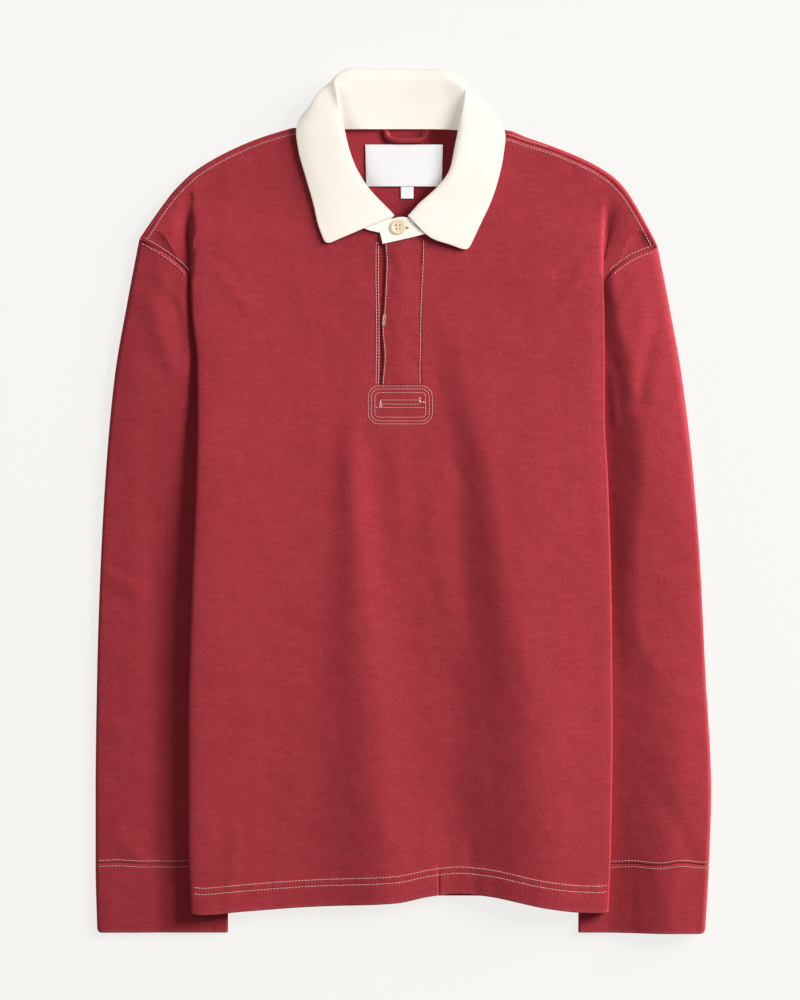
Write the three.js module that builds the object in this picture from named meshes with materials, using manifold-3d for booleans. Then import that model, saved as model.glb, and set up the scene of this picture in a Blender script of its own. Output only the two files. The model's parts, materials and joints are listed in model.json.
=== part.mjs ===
import * as THREE from 'three';
import Module from 'manifold-3d';
import { mergeVertices } from 'three/addons/utils/BufferGeometryUtils.js';

// A long-sleeved rugby shirt laid flat with its front up. Millimetres.
// X runs to the wearer's left, Y to the collar, Z up from the surface it lies on.
// The sides of the body are tucked under, and the sleeves come out from below them.

// Driving dimensions
const JERSEY = 1.2; // wall of the red jersey
const TWILL = 1.5; // wall of the cream collar cloth
const TRIM = 1.0; // wall of labels and facings
const SEAM_GAP = 0.3; // between pieces at a seam
const SHOULDER_GAP = 1.3; // front to the back's curled edge, which turns in short steps
const HEM_Y = -371; // front hem at its corners
const UNDERARM_Y = 60; // hidden lower end of the armhole
const CUFF_SEAM_Y = -326;
const CUFF_END_Y = -388;
const SLIT_Y = 104; // lower end of the placket slit
const SLIT_RIGHT = -20.8; // edge of the slit on the wearer's right
const SLIT_LEFT = 17;
const NECK_POINT = 79; // half width of the neck at the shoulder seam

// Heights of the middle of each wall above the surface
const GROUND_LAYER = JERSEY / 2;
const FRONT_LIES = 3.9; // front panel where it lies on the back
const FRONT_LOWEST = 2.7;
const SHOULDER_HEIGHT = 6.8;
const FOLD_RADIUS = 3.3; // round of the tucked edge of the body
const TUCK_HEIGHT = 5.4; // tucked part of the front, over the sleeve
const SLEEVE_COVERED = 3.5; // top wall of the sleeve under the body
const SLEEVE_FALL = 1.6; // from the crest of a sleeve to its outer edge
const SLEEVE_ROLL = 34; // width over which it falls
const ARMPIT_DENT = 3.2; // hollow between the shoulder point and the edge of the body
const RIM_WIDTH = 66; // width over which the tucked edge thins towards the middle
const RIM_SINK = 1; // of the tucked edge at its turn
const SIDE_SEAM = 146; // hidden side seam, from the middle
const BACK_HEM_RISE = 14; // back hem over the front hem in the middle

const SIDES = { right: -1, left: 1 };

// Edge of the body, from the middle, on the wearer's right and left
const BODY_EDGE = [
  { y: -371, right: 189, left: 183.5 },
  { y: -313, right: 191.7, left: 185.8 },
  { y: -206, right: 192, left: 187.2 },
  { y: -89, right: 189, left: 186.3 },
  { y: 18, right: 185, left: 183.3 },
  { y: 78, right: 184, left: 180.3 },
  { y: 127, right: 184.5, left: 180.4 },
  { y: 168, right: 189, left: 180 },
  { y: 202, right: 190, left: 179.4 },
  { y: 259, right: 189, left: 180.5 },
  { y: 290, right: 196, left: 187 },
];

// Outer edge of the sleeves
const SLEEVE_EDGE = [
  { y: -388, right: 274.5, left: 270.5 },
  { y: -326, right: 276, left: 274 },
  { y: -260, right: 276, left: 276 },
  { y: -150, right: 274.5, left: 270.8 },
  { y: -57, right: 271.4, left: 266.2 },
  { y: 33, right: 266.2, left: 259 },
  { y: 111, right: 258.8, left: 249.7 },
  { y: 178, right: 247.4, left: 238 },
  { y: 236, right: 236.4, left: 226.5 },
];

// Armhole seam from the hidden underarm up to the shoulder point
const ARMHOLE = {
  right: [
    { x: 156.5, y: 60 },
    { x: 159, y: 120 },
    { x: 166, y: 160 },
    { x: 178, y: 186 },
    { x: 192.3, y: 203.3 },
    { x: 199.2, y: 210.7 },
    { x: 215.7, y: 223.1 },
    { x: 236.2, y: 235.2 },
  ],
  left: [
    { x: 155.5, y: 60 },
    { x: 157.5, y: 120 },
    { x: 163, y: 160 },
    { x: 174, y: 186 },
    { x: 186.2, y: 203.8 },
    { x: 193.2, y: 210.5 },
    { x: 206.9, y: 219.5 },
    { x: 228.2, y: 227.9 },
  ],
};

// Shoulder outline, and how far in front of it the shoulder seam lies
const SHOULDER = {
  right: [
    { x: 70, y: 334.4, inset: 2.6 },
    { x: 95, y: 334.4, inset: 2.6 },
    { x: 111, y: 330.5, inset: 2.6 },
    { x: 130.3, y: 324.3, inset: 2.8 },
    { x: 157.8, y: 312.3, inset: 3 },
    { x: 185.4, y: 296.1, inset: 3 },
    { x: 204.7, y: 278.2, inset: 3 },
    { x: 219.8, y: 258.8, inset: 3 },
    { x: 230.9, y: 241.5, inset: 2.6 },
    { x: 236.4, y: 235.2, inset: 2.2 },
  ],
  left: [
    { x: 70, y: 334.4, inset: 8.2 },
    { x: 91, y: 333.3, inset: 8 },
    { x: 110.5, y: 325.9, inset: 7.4 },
    { x: 138, y: 316.1, inset: 6.6 },
    { x: 165.6, y: 304.3, inset: 6 },
    { x: 186.2, y: 292, inset: 5.2 },
    { x: 200, y: 278.2, inset: 4.4 },
    { x: 213.8, y: 256.1, inset: 3.6 },
    { x: 223.4, y: 238.2, inset: 3 },
    { x: 228.3, y: 227.9, inset: 2.2 },
  ],
};

// Front neck edge, from the slit up to the neck point
const FRONT_NECK = [
  { x: 0, y: 238 },
  { x: 21, y: 239 },
  { x: 31, y: 244 },
  { x: 48, y: 256 },
  { x: 61, y: 274 },
  { x: 70, y: 297 },
  { x: 74.5, y: 318 },
];

// Lower edge of the front, which rises where a fold lifts it
const FRONT_HEM = [
  { x: -192, y: -371 },
  { x: -146, y: -368.3 },
  { x: -84, y: -364.1 },
  { x: -8, y: -360.7 },
  { x: 28, y: -354.2 },
  { x: 50, y: -352.4 },
  { x: 75.5, y: -354.5 },
  { x: 130, y: -365.2 },
  { x: 158, y: -368.6 },
  { x: 192, y: -369.6 },
];

// Top of the tucked edge of the body
const RIM = [
  { y: -372, right: 13.2, left: 9.4 },
  { y: -100, right: 13.8, left: 9 },
  { y: 28, right: 13.6, left: 8.6 },
  { y: 130, right: 11.6, left: 8 },
  { y: 200, right: 10, left: 7.6 },
  { y: 260, right: 9, left: 7.4 },
];

// Step up of the front to the wearer's left, onto the cloth that is tucked under there
const FRONT_RISE = [
  { y: -372, x: 96, width: 34, height: 5.4 },
  { y: -314, x: 99, width: 33, height: 6 },
  { y: -260, x: 107, width: 28, height: 6.4 },
  { y: -188, x: 101, width: 24, height: 6.4 },
  { y: -116, x: 84, width: 19, height: 6 },
  { y: -44, x: 74, width: 16, height: 5.2 },
  { y: 28, x: 67, width: 14, height: 4 },
  { y: 91, x: 50, width: 12, height: 2.2 },
  { y: 130, x: 42, width: 11, height: 1.2 },
  { y: 175, x: 36, width: 11, height: 0 },
];

// Ridges that run down the front: place across, half width and height at each level
const FRONT_RIDGES = [
  [
    { y: -372, x: -21, width: 25, height: 2.8 },
    { y: -314, x: -21, width: 25, height: 3 },
    { y: -260, x: -25, width: 24, height: 3.1 },
    { y: -188, x: -32, width: 23, height: 3.1 },
    { y: -116, x: -38, width: 21, height: 2.9 },
    { y: -44, x: -41, width: 16, height: 2.4 },
    { y: 28, x: -46, width: 12, height: 1.8 },
    { y: 90, x: -44, width: 9, height: 0 },
  ],
  [
    { y: -372, x: 52, width: 16, height: 1.4 },
    { y: -300, x: 54, width: 15, height: 1.2 },
    { y: -188, x: 52, width: 14, height: 1.1 },
    { y: -116, x: 34, width: 13, height: 0.8 },
    { y: -44, x: 28, width: 12, height: 0.4 },
    { y: 28, x: 26, width: 10, height: 0 },
  ],
];

// Upper wall of each sleeve: height of its crest and the distance to it from the edge of the body
const SLEEVE_FORM = {
  right: [
    { y: -388, crest: 4.8, reach: 44 },
    { y: -326, crest: 5, reach: 46 },
    { y: -116, crest: 5.2, reach: 44 },
    { y: 28, crest: 5.4, reach: 24 },
    { y: 100, crest: 5.6, reach: 14 },
    { y: 236, crest: 5.7, reach: 6 },
  ],
  left: [
    { y: -388, crest: 5.2, reach: 42 },
    { y: -326, crest: 5.5, reach: 44 },
    { y: -188, crest: 5.2, reach: 52 },
    { y: -116, crest: 5.2, reach: 28 },
    { y: 28, crest: 5.7, reach: 38 },
    { y: 91, crest: 5.7, reach: 44 },
    { y: 160, crest: 5.7, reach: 10 },
    { y: 236, crest: 5.7, reach: 6 },
  ],
};

// Collar, a row for each section from the wearer's right front, round the back, to the left front.
// seam is on the neck, roll is the fold line, leaf is halfway down the fall and edge is its free end.
// over is 1 where the fall lies on top of the stand and -1 where it is tucked beneath it.
const COLLAR = [
  {
    seam: [-27, 240.5, 5.5], roll: [-8.2, 255.5, 12.4],
    leaf: [-39, 242.6, 12], edge: [-69.4, 229.8, 7], turn: 2, over: 1,
  },
  {
    seam: [-35, 244.5, 5.5], roll: [-20, 267.5, 14],
    leaf: [-48, 256, 13], edge: [-76, 247, 7], turn: 2, over: 1,
  },
  {
    seam: [-51, 256.5, 5.5], roll: [-33.7, 283.2, 16],
    leaf: [-58, 274, 14.4], edge: [-81, 268.5, 7], turn: 2.2, over: 1,
  },
  {
    seam: [-64, 274, 5.5], roll: [-43.5, 300, 18.5],
    leaf: [-66, 294, 16], edge: [-87.4, 290.5, 7], turn: 2.4, over: 1,
  },
  {
    seam: [-73, 297, 6], roll: [-50.3, 320.4, 21],
    leaf: [-72, 317, 18], edge: [-94, 315, 7], turn: 2.8, over: 1,
  },
  {
    seam: [-77, 317, 7], roll: [-55, 342, 23],
    leaf: [-77, 340, 18.5], edge: [-95.4, 336, 8.5], turn: 3, over: 0.8,
  },
  {
    seam: [-70, 331, 5], roll: [-59, 362, 23.5],
    leaf: [-79, 359, 14.5], edge: [-88, 348, 4], turn: 3.4, over: 0,
  },
  {
    seam: [-58, 332.5, 3], roll: [-60.5, 378.5, 20],
    leaf: [-68, 372, 9], edge: [-74, 345, 2.3], turn: 3.6, over: -0.7,
  },
  {
    seam: [-46, 332.5, 2.6], roll: [-50, 386.4, 17],
    leaf: [-53, 374, 4.5], edge: [-54, 343, 2.1], turn: 4, over: -1,
  },
  {
    seam: [-24, 332.5, 2.6], roll: [-26, 386.5, 15],
    leaf: [-26, 373, 4], edge: [-27, 341.5, 2.1], turn: 4, over: -1,
  },
  {
    seam: [0, 332.5, 2.6], roll: [-1, 386.5, 14.5],
    leaf: [-1, 373, 4], edge: [0, 341, 2.1], turn: 4, over: -1,
  },
  {
    seam: [24, 332.5, 2.6], roll: [22, 386, 15.5],
    leaf: [23, 373, 4], edge: [27, 341.5, 2.1], turn: 4, over: -1,
  },
  {
    seam: [43, 332.5, 2.6], roll: [38, 384.6, 17.5],
    leaf: [43, 372, 4.5], edge: [50, 343, 2.1], turn: 4, over: -1,
  },
  {
    seam: [55, 331.5, 3], roll: [54.5, 372, 21],
    leaf: [63, 364, 9], edge: [68, 345, 2.3], turn: 3.6, over: -0.7,
  },
  {
    seam: [67, 328, 5], roll: [55.6, 359, 24],
    leaf: [75, 354, 14.5], edge: [82, 345, 4], turn: 3.4, over: 0,
  },
  {
    seam: [76, 313, 7], roll: [51.4, 339.5, 23],
    leaf: [73, 336, 18.5], edge: [91, 331, 8.5], turn: 3, over: 0.8,
  },
  {
    seam: [72, 294, 6], roll: [46.5, 316, 21],
    leaf: [68, 313, 18], edge: [90, 311, 7], turn: 2.8, over: 1,
  },
  {
    seam: [63, 273, 5.5], roll: [41.8, 295, 18],
    leaf: [63, 291, 15.6], edge: [86, 291, 7], turn: 2.4, over: 1,
  },
  {
    seam: [50, 256, 5.5], roll: [31, 281, 15.6],
    leaf: [54, 271, 14], edge: [79, 269, 7], turn: 2.2, over: 1,
  },
  {
    seam: [34, 244.5, 5.5], roll: [15, 266.5, 13.6],
    leaf: [40, 253, 12.8], edge: [69, 247.5, 7], turn: 2, over: 1,
  },
  {
    seam: [25, 240, 5.5], roll: [4.4, 255, 12],
    leaf: [24, 236.4, 11.6], edge: [58, 224, 7], turn: 2, over: 1,
  },
];

// Placket flap: its free edge on the wearer's right
const FLAP_EDGE = [
  { y: 104, x: -19.6 },
  { y: 130, x: -17.6 },
  { y: 154, x: -19.2 },
  { y: 174.5, x: -17.5 },
  { y: 215, x: -15.8 },
  { y: 240, x: -17.6 },
];

const FLAP_CROWN = 0.5; // swell of the flap over the front beside it
const BAND_TOP = 9; // upper edge of the band end, under the roll
const BUTTON = { x: -4.6, y: 245.3, radius: 6.75, thick: 2.6, hole: 0.85, holeAt: 1.7 };
const LABEL = { right: -33.6, left: 35.2, low: 282.8, high: 320.4 };
const TAB = { right: -2, left: 9.3, low: 271.9, high: 282.4 };
const LOOP = { width: 4.6, thick: 2, from: -18.3, to: 21.9, sag: 322.6 };

// Small mathematics

const mix = (a, b, t) => a + (b - a) * t;
const clamp = (t, low, high) => Math.min(high, Math.max(low, t));

function ramp(from, to, at) {
  const t = clamp((at - from) / (to - from), 0, 1);
  return t * t * (3 - 2 * t);
}

// Smooth curve through a table: one column against another, with no overshoot
function through(rows, at, value) {
  const places = rows.map((row) => row[at]);
  const values = rows.map((row) => row[value]);
  const rises = values.slice(1).map((next, i) => (next - values[i]) / (places[i + 1] - places[i]));
  const slopes = values.map((_, i) => {
    const before = rises[Math.max(0, i - 1)];
    const after = rises[Math.min(rises.length - 1, i)];
    return before * after <= 0 ? 0 : (2 * before * after) / (before + after);
  });
  return (place) => {
    const p = clamp(place, places[0], places[places.length - 1]);
    let i = 0;
    while (i < places.length - 2 && p > places[i + 1]) i += 1;
    const span = places[i + 1] - places[i];
    const t = (p - places[i]) / span;
    const bend = t * t * (3 - 2 * t);
    const lead = t * (1 - t) * (1 - t) * span * slopes[i];
    const tail = t * t * (1 - t) * span * slopes[i + 1];
    return mix(values[i], values[i + 1], bend) + lead - tail;
  };
}

// A curve for each column of a table against y
function curvesOf(rows, ...columns) {
  return Object.fromEntries(columns.map((column) => [column, through(rows, 'y', column)]));
}

const bodyEdge = {};
const sleeveEdge = {};
const armholeX = {};
const shoulderY = {};
const seamInset = {};
const sleeveForm = {};
for (const side of Object.keys(SIDES)) {
  bodyEdge[side] = through(BODY_EDGE, 'y', side);
  sleeveEdge[side] = through(SLEEVE_EDGE, 'y', side);
  armholeX[side] = through(ARMHOLE[side], 'y', 'x');
  shoulderY[side] = through(SHOULDER[side], 'x', 'y');
  seamInset[side] = through(SHOULDER[side], 'x', 'inset');
  sleeveForm[side] = curvesOf(SLEEVE_FORM[side], 'crest', 'reach');
}
const rimHeight = curvesOf(RIM, ...Object.keys(SIDES));
const frontRise = curvesOf(FRONT_RISE, 'x', 'width', 'height');
const frontRidges = FRONT_RIDGES.map((rows) => curvesOf(rows, 'x', 'width', 'height'));
const frontHem = through(FRONT_HEM, 'x', 'y');
const frontNeck = through(FRONT_NECK, 'x', 'y');
const flapEdge = through(FLAP_EDGE, 'y', 'x');
const sideOf = (x) => (x < 0 ? 'right' : 'left');

// Outward direction of the shoulder outline in plan, and a point set in from it
function shoulderPoint(side, x, inset) {
  const step = 2;
  const rise = shoulderY[side](x + step) - shoulderY[side](x - step);
  const length = Math.hypot(2 * step, rise);
  const outX = -rise / length;
  const outY = (2 * step) / length;
  return [x - outX * inset, shoulderY[side](x) - outY * inset];
}

// Walls: a grid of points along the middle of a cloth becomes a closed solid

function gridNormals(grid, ring) {
  const rows = grid.length;
  const columns = grid[0].length;
  return grid.map((row, j) => row.map((_, i) => {
    const before = ring ? (i + columns - 1) % columns : Math.max(0, i - 1);
    const after = ring ? (i + 1) % columns : Math.min(columns - 1, i + 1);
    const across = new THREE.Vector3().subVectors(row[after], row[before]);
    const low = grid[Math.max(0, j - 1)][i];
    const high = grid[Math.min(rows - 1, j + 1)][i];
    const along = new THREE.Vector3().subVectors(high, low);
    return across.cross(along).normalize();
  }));
}

// grid[j][i] with i to the right and j upwards seen from outside; keep(j, i) leaves cells out
function wall(grid, thickness, { ring = false, keep = () => true } = {}) {
  const rows = grid.length;
  const columns = grid[0].length;
  const normals = gridNormals(grid, ring);
  const positions = [];
  for (const half of [thickness / 2, -thickness / 2]) {
    grid.forEach((row, j) => row.forEach((point, i) => {
      const moved = point.clone().addScaledVector(normals[j][i], half);
      positions.push(moved.x, moved.y, moved.z);
    }));
  }
  const layer = rows * columns;
  const at = (j, i) => j * columns + (i % columns);
  const cells = ring ? columns : columns - 1;
  const kept = (j, i) => {
    if (j < 0 || j >= rows - 1) return false;
    if (!ring && (i < 0 || i >= cells)) return false;
    return keep(j, (i + cells) % cells);
  };
  const faces = [];
  const quad = (a, b, c, d) => faces.push(a, b, c, a, c, d);
  for (let j = 0; j < rows - 1; j += 1) {
    for (let i = 0; i < cells; i += 1) {
      if (!kept(j, i)) continue;
      const [a, b, c, d] = [at(j, i), at(j, i + 1), at(j + 1, i + 1), at(j + 1, i)];
      quad(a, b, c, d);
      quad(d + layer, c + layer, b + layer, a + layer);
      if (!kept(j - 1, i)) quad(b, a, a + layer, b + layer);
      if (!kept(j + 1, i)) quad(d, c, c + layer, d + layer);
      if (!kept(j, i - 1)) quad(a, d, d + layer, a + layer);
      if (!kept(j, i + 1)) quad(c, b, b + layer, c + layer);
    }
  }
  const geometry = new THREE.BufferGeometry();
  geometry.setAttribute('position', new THREE.Float32BufferAttribute(positions, 3));
  geometry.setIndex(faces);
  return withoutLoosePoints(geometry);
}

function withoutLoosePoints(geometry) {
  const flat = geometry.toNonIndexed();
  const merged = mergeVertices(flat, 1e-4);
  merged.computeVertexNormals();
  return merged;
}

// Front

// Height of the middle of the front panel
function frontHeight(x, y) {
  const side = sideOf(x);
  const inward = Math.max(0, bodyEdge[side](y) - Math.abs(x) - FOLD_RADIUS);
  const nearEdge = Math.exp(-((inward / RIM_WIDTH) ** 1.7));
  const rim = rimHeight[side](y) - RIM_SINK * Math.exp(-inward / 5);
  const tucked = 1 - ramp(232, 272, y);
  let height = mix(FRONT_LIES, mix(SHOULDER_HEIGHT - 1, rim, tucked), nearEdge);
  const seam = shoulderY[side](Math.abs(x)) - seamInset[side](Math.abs(x));
  height = mix(SHOULDER_HEIGHT, height, ramp(2, 48, seam - y));
  const fromNeck = Math.hypot(x, (y - 306) * 1.05);
  height += 1.2 * Math.exp(-(((fromNeck - 74) / 20) ** 2)) * ramp(6, 40, seam - y);
  height += 0.5 * Math.exp(-((x / 30) ** 2)) * ramp(40, 90, y);
  const step = ramp(-1.5, 1, (x - frontRise.x(y)) / frontRise.width(y));
  height += frontRise.height(y) * step * (1 - nearEdge);
  for (const ridge of frontRidges) {
    height += ridge.height(y) * Math.exp(-(((x - ridge.x(y)) / ridge.width(y)) ** 2));
  }
  return FRONT_LOWEST + Math.log1p(Math.exp((height - FRONT_LOWEST) * 3)) / 3;
}

// Fall of the armhole seam for each millimetre along it, next to the shoulder point
function armholeSlant(side) {
  const [before, top] = ARMHOLE[side].slice(-2);
  return (top.y - before.y) / Math.hypot(top.x - before.x, top.y - before.y);
}

// Seam edge of the front beside its column at height y: armhole, then the hidden side seam
function frontSeam(side, y) {
  const armhole = ARMHOLE[side];
  const foldY = 203.5;
  const top = armhole[armhole.length - 1];
  const corner = top.y - (seamInset[side](top.x) + SHOULDER_GAP) * armholeSlant(side);
  const ridgeTop = shoulderSeamTop(side);
  let seamY = y;
  if (y > foldY) seamY = mix(foldY, corner, (y - foldY) / (ridgeTop - foldY));
  const x = mix(SIDE_SEAM, armholeX[side](seamY), ramp(UNDERARM_Y - 24, UNDERARM_Y, seamY));
  const butt = ramp(206, 221, seamY);
  const lap = mix(TUCK_HEIGHT, SHOULDER_HEIGHT, butt);
  const low = ramp(UNDERARM_Y - 24, UNDERARM_Y - 36, seamY);
  return { x: SIDES[side] * x, y: seamY, z: lap, low };
}

// Edge of the front along the shoulder seam
function shoulderSeamY(side, x) {
  let outlineX = x;
  let place = [0, 0];
  for (let pass = 0; pass < 8; pass += 1) {
    place = shoulderPoint(side, outlineX, seamInset[side](outlineX) + SHOULDER_GAP);
    outlineX += x - place[0];
  }
  return place[1];
}

// Where the edge of the body meets the shoulder seam
function shoulderSeamTop(side) {
  return shoulderSeamY(side, bodyEdge[side](290) - FOLD_RADIUS);
}

// Section of the tucked side, from the seam round to the ridge
function tuckedSection(side, y, steps) {
  const sign = SIDES[side];
  const seam = frontSeam(side, y);
  const ridgeX = sign * (bodyEdge[side](y) - FOLD_RADIUS);
  const ridge = new THREE.Vector3(ridgeX, y, frontHeight(ridgeX, y));
  const under = 1 - ramp(196, 226, seam.y);
  const ridgeTop = shoulderSeamTop(side);
  const flat = Math.round(steps * 0.45);
  const points = [];
  for (let k = 0; k < steps; k += 1) {
    const q = k / steps;
    const openX = mix(seam.x, ridge.x, q);
    const chordY = mix(seam.y, y, q);
    const bow = k === 0 ? 0 : shoulderSeamY(side, Math.abs(openX)) - mix(seam.y, ridgeTop, q);
    const open = new THREE.Vector3(
      openX,
      chordY + bow * ramp(ridgeTop - 60, ridgeTop, y),
      mix(seam.z, ridge.z, q ** 3) - ARMPIT_DENT * Math.sin(Math.PI * q ** 2.4) ** 1.2 * ramp(276, 236, y),
    );
    const radius = (ridge.z - TUCK_HEIGHT) / 2;
    const tucked = new THREE.Vector3();
    if (k < flat) {
      const t = k / flat;
      const x = mix(seam.x, ridge.x, t);
      const descent = seam.low * (1 - ramp(0, 12, Math.abs(x - seam.x)));
      tucked.set(x, mix(seam.y, y, t), TUCK_HEIGHT - 2.6 * descent);
    } else {
      const turn = (Math.PI * (k - flat)) / (steps - flat);
      tucked.set(
        ridge.x + sign * FOLD_RADIUS * Math.sin(turn),
        y,
        TUCK_HEIGHT + radius * (1 - Math.cos(turn)),
      );
    }
    points.push(open.lerp(tucked, under));
  }
  return points;
}

const LEVELS_BELOW_SLIT = 15;
const LEVELS_BESIDE_SLIT = 14;

// Columns of the front between the ridges, as distances from the middle
const FRONT_COLUMNS = [
  -1, -0.97, -0.92, -0.84, -0.73, -0.62, -0.52, -79, -74.5, -68, -58, -45, -33, SLIT_RIGHT,
  -2, SLIT_LEFT, 31, 45, 58, 68, 74.5, 79, 0.52, 0.62, 0.73, 0.84, 0.92, 0.97, 1,
];

// A column's x at height y: a fraction of the way from the neck point to the ridge, or a fixed line
function columnX(column, y) {
  if (Math.abs(column) > 1) return column;
  const side = sideOf(column);
  const ridge = bodyEdge[side](y) - FOLD_RADIUS;
  const fraction = (Math.abs(column) - 0.42) / 0.58;
  return SIDES[side] * mix(NECK_POINT, ridge, fraction);
}

function frontTop(x) {
  const side = sideOf(x);
  if (Math.abs(x) < NECK_POINT - 0.1) return frontNeck(Math.abs(x));
  return shoulderSeamY(side, Math.abs(x));
}

function frontPoint(column, level) {
  const rough = level < 1 ? mix(HEM_Y, SLIT_Y, level) : mix(SLIT_Y, 290, level - 1);
  const x = columnX(column, rough);
  const y = level < 1
    ? mix(frontHem(x), SLIT_Y, level)
    : mix(SLIT_Y, frontTop(x), level - 1);
  const settled = columnX(column, y);
  return new THREE.Vector3(settled, y, frontHeight(settled, y));
}

// Levels run from 0 at the hem over 1 at the foot of the slit to 2 at the neck and shoulders
function frontLevels(below, above) {
  const levels = [];
  for (let k = 0; k < below; k += 1) levels.push(k / below);
  for (let k = 0; k <= above; k += 1) levels.push(1 + k / above);
  return levels;
}

function frontPanel() {
  const sideSteps = 8;
  const grid = frontLevels(LEVELS_BELOW_SLIT, LEVELS_BESIDE_SLIT).map((level) => {
    const middle = FRONT_COLUMNS.map((column) => frontPoint(column, level));
    const right = tuckedSection('right', middle[0].y, sideSteps);
    const left = tuckedSection('left', middle[middle.length - 1].y, sideSteps).reverse();
    return [...right, ...middle, ...left];
  });
  const slit = FRONT_COLUMNS.indexOf(SLIT_RIGHT) + sideSteps;
  const keep = (j, i) => j < LEVELS_BELOW_SLIT || i < slit || i > slit + 1;
  return wall(grid, JERSEY, { keep });
}

// Back

function backSide(side, y) {
  const x = mix(SIDE_SEAM + 3, armholeX[side](y), ramp(UNDERARM_Y - 24, UNDERARM_Y, y));
  return SIDES[side] * (x - 2 * SEAM_GAP);
}

// Columns of the back from the middle to the armhole, closer where the shoulder turns
const BACK_COLUMNS = [0.15, 0.28, 0.34, 0.4, 0.52, 0.63, 0.72, 0.79, 0.84, 0.88, 0.92, 0.96, 1];

// Plan place on the back at a depth in from the shoulder outline; reach is 0 at the middle, 1 at the armhole
function backTop(side, reach, depth) {
  const armhole = ARMHOLE[side];
  const top = armhole[armhole.length - 1];
  const [x, y] = shoulderPoint(side, (top.x - 2 * SEAM_GAP) * reach, depth);
  const alongY = top.y - depth * armholeSlant(side);
  const toArmhole = ramp(0.86, 1, reach);
  return [mix(x, armholeX[side](alongY) - 2 * SEAM_GAP, toArmhole), mix(y, alongY, toArmhole)];
}

function backPanel() {
  const flatRows = 15;
  const curlRows = 6;
  const curlStart = 12;
  const grid = [];
  const reaches = [...BACK_COLUMNS.map((reach) => -reach).reverse(), 0, ...BACK_COLUMNS];
  for (let j = 0; j <= flatRows; j += 1) {
    const v = j / flatRows;
    grid.push(reaches.map((u) => {
      const side = sideOf(u);
      const reach = Math.abs(u);
      const [endX, endY] = backTop(side, reach, curlStart);
      const sideEndY = backTop(side, 1, curlStart)[1];
      const sideY = mix(HEM_Y + 2, sideEndY, v);
      const spread = endX - Math.abs(backSide(side, sideEndY)) * reach;
      const x = Math.abs(backSide(side, sideY)) * reach + spread * ramp(0.5, 1, v);
      const rise = ramp(0.55, 1, v) * (endY - sideEndY);
      const hem = (1 - ramp(0, 0.3, v)) * (1 - reach ** 6) * BACK_HEM_RISE;
      return new THREE.Vector3(SIDES[side] * x, sideY + rise + hem, GROUND_LAYER);
    }));
  }
  for (let k = 1; k <= curlRows; k += 1) {
    const t = k / curlRows;
    const weights = [(1 - t) ** 3, 3 * t * (1 - t) ** 2, 3 * t * t * (1 - t), t ** 3];
    const bend = (...ends) => ends.reduce((sum, end, n) => sum + end * weights[n], 0);
    grid.push(reaches.map((u) => {
      const side = sideOf(u);
      const reach = Math.abs(u);
      const topX = backTop(side, reach, 0)[0];
      const curl = ramp(80, 94, topX);
      const inset = seamInset[side](topX) * curl;
      const round = (curlStart / 8 + inset / 8) / 0.75;
      const leave = mix(curlStart * 0.6, -round, curl);
      const arrive = mix(curlStart * 0.3, -round, curl);
      const depth = bend(curlStart, leave, arrive, inset);
      const high = mix(GROUND_LAYER, SHOULDER_HEIGHT, curl);
      const [x, y] = backTop(side, reach, depth);
      return new THREE.Vector3(SIDES[side] * x, y, bend(GROUND_LAYER, GROUND_LAYER, high, high));
    }));
  }
  return wall(grid, JERSEY);
}

// Sleeves and cuffs

// Height of the middle of a sleeve's upper wall
function sleeveHeight(side, x, y) {
  const open = Math.abs(x) - bodyEdge[side](y);
  const climb = ramp(-1, sleeveForm[side].reach(y) - 1, open);
  const outer = clamp((sleeveEdge[side](y) - Math.abs(x)) / SLEEVE_ROLL, 0, 1);
  const crest = sleeveForm[side].crest(y) - SLEEVE_FALL * (1 - outer) ** 2;
  return mix(SLEEVE_COVERED, crest, climb);
}

// Closed ring of a flattened tube between an outer and an inner point, seen from its lower end
function flatRing(side, place, heightAt, steps) {
  const points = [];
  const round = { outer: 3.4, inner: 1.5 };
  const top = steps.top;
  const width = place(1).distanceTo(place(0));
  const first = round.outer / width;
  const last = 1 - round.inner / width;
  for (let k = 0; k <= top; k += 1) {
    const point = place(mix(first, last, k / top));
    point.z = heightAt(point.x, point.y);
    points.push(point);
  }
  const turnAt = (end, from) => {
    const tip = place(end);
    const start = place(from);
    const crown = heightAt(start.x, start.y);
    for (let k = 1; k < steps.turn; k += 1) {
      const angle = (Math.PI * k) / steps.turn;
      const point = start.clone().lerp(tip, Math.sin(angle));
      point.z = mix(GROUND_LAYER, crown, (1 + Math.cos(angle)) / 2);
      points.push(point);
    }
  };
  turnAt(1, last);
  for (let k = 0; k <= steps.under; k += 1) {
    const point = place(mix(last, first, k / steps.under));
    point.z = GROUND_LAYER;
    points.push(point);
  }
  const outer = [];
  const tip = place(0);
  const start = place(first);
  const crown = heightAt(start.x, start.y);
  for (let k = 1; k < steps.turn; k += 1) {
    const angle = (Math.PI * k) / steps.turn;
    const point = start.clone().lerp(tip, Math.sin(angle));
    point.z = mix(GROUND_LAYER, crown, (1 - Math.cos(angle)) / 2);
    outer.push(point);
  }
  points.push(...outer);
  return side === 'right' ? points : points.reverse();
}

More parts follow.
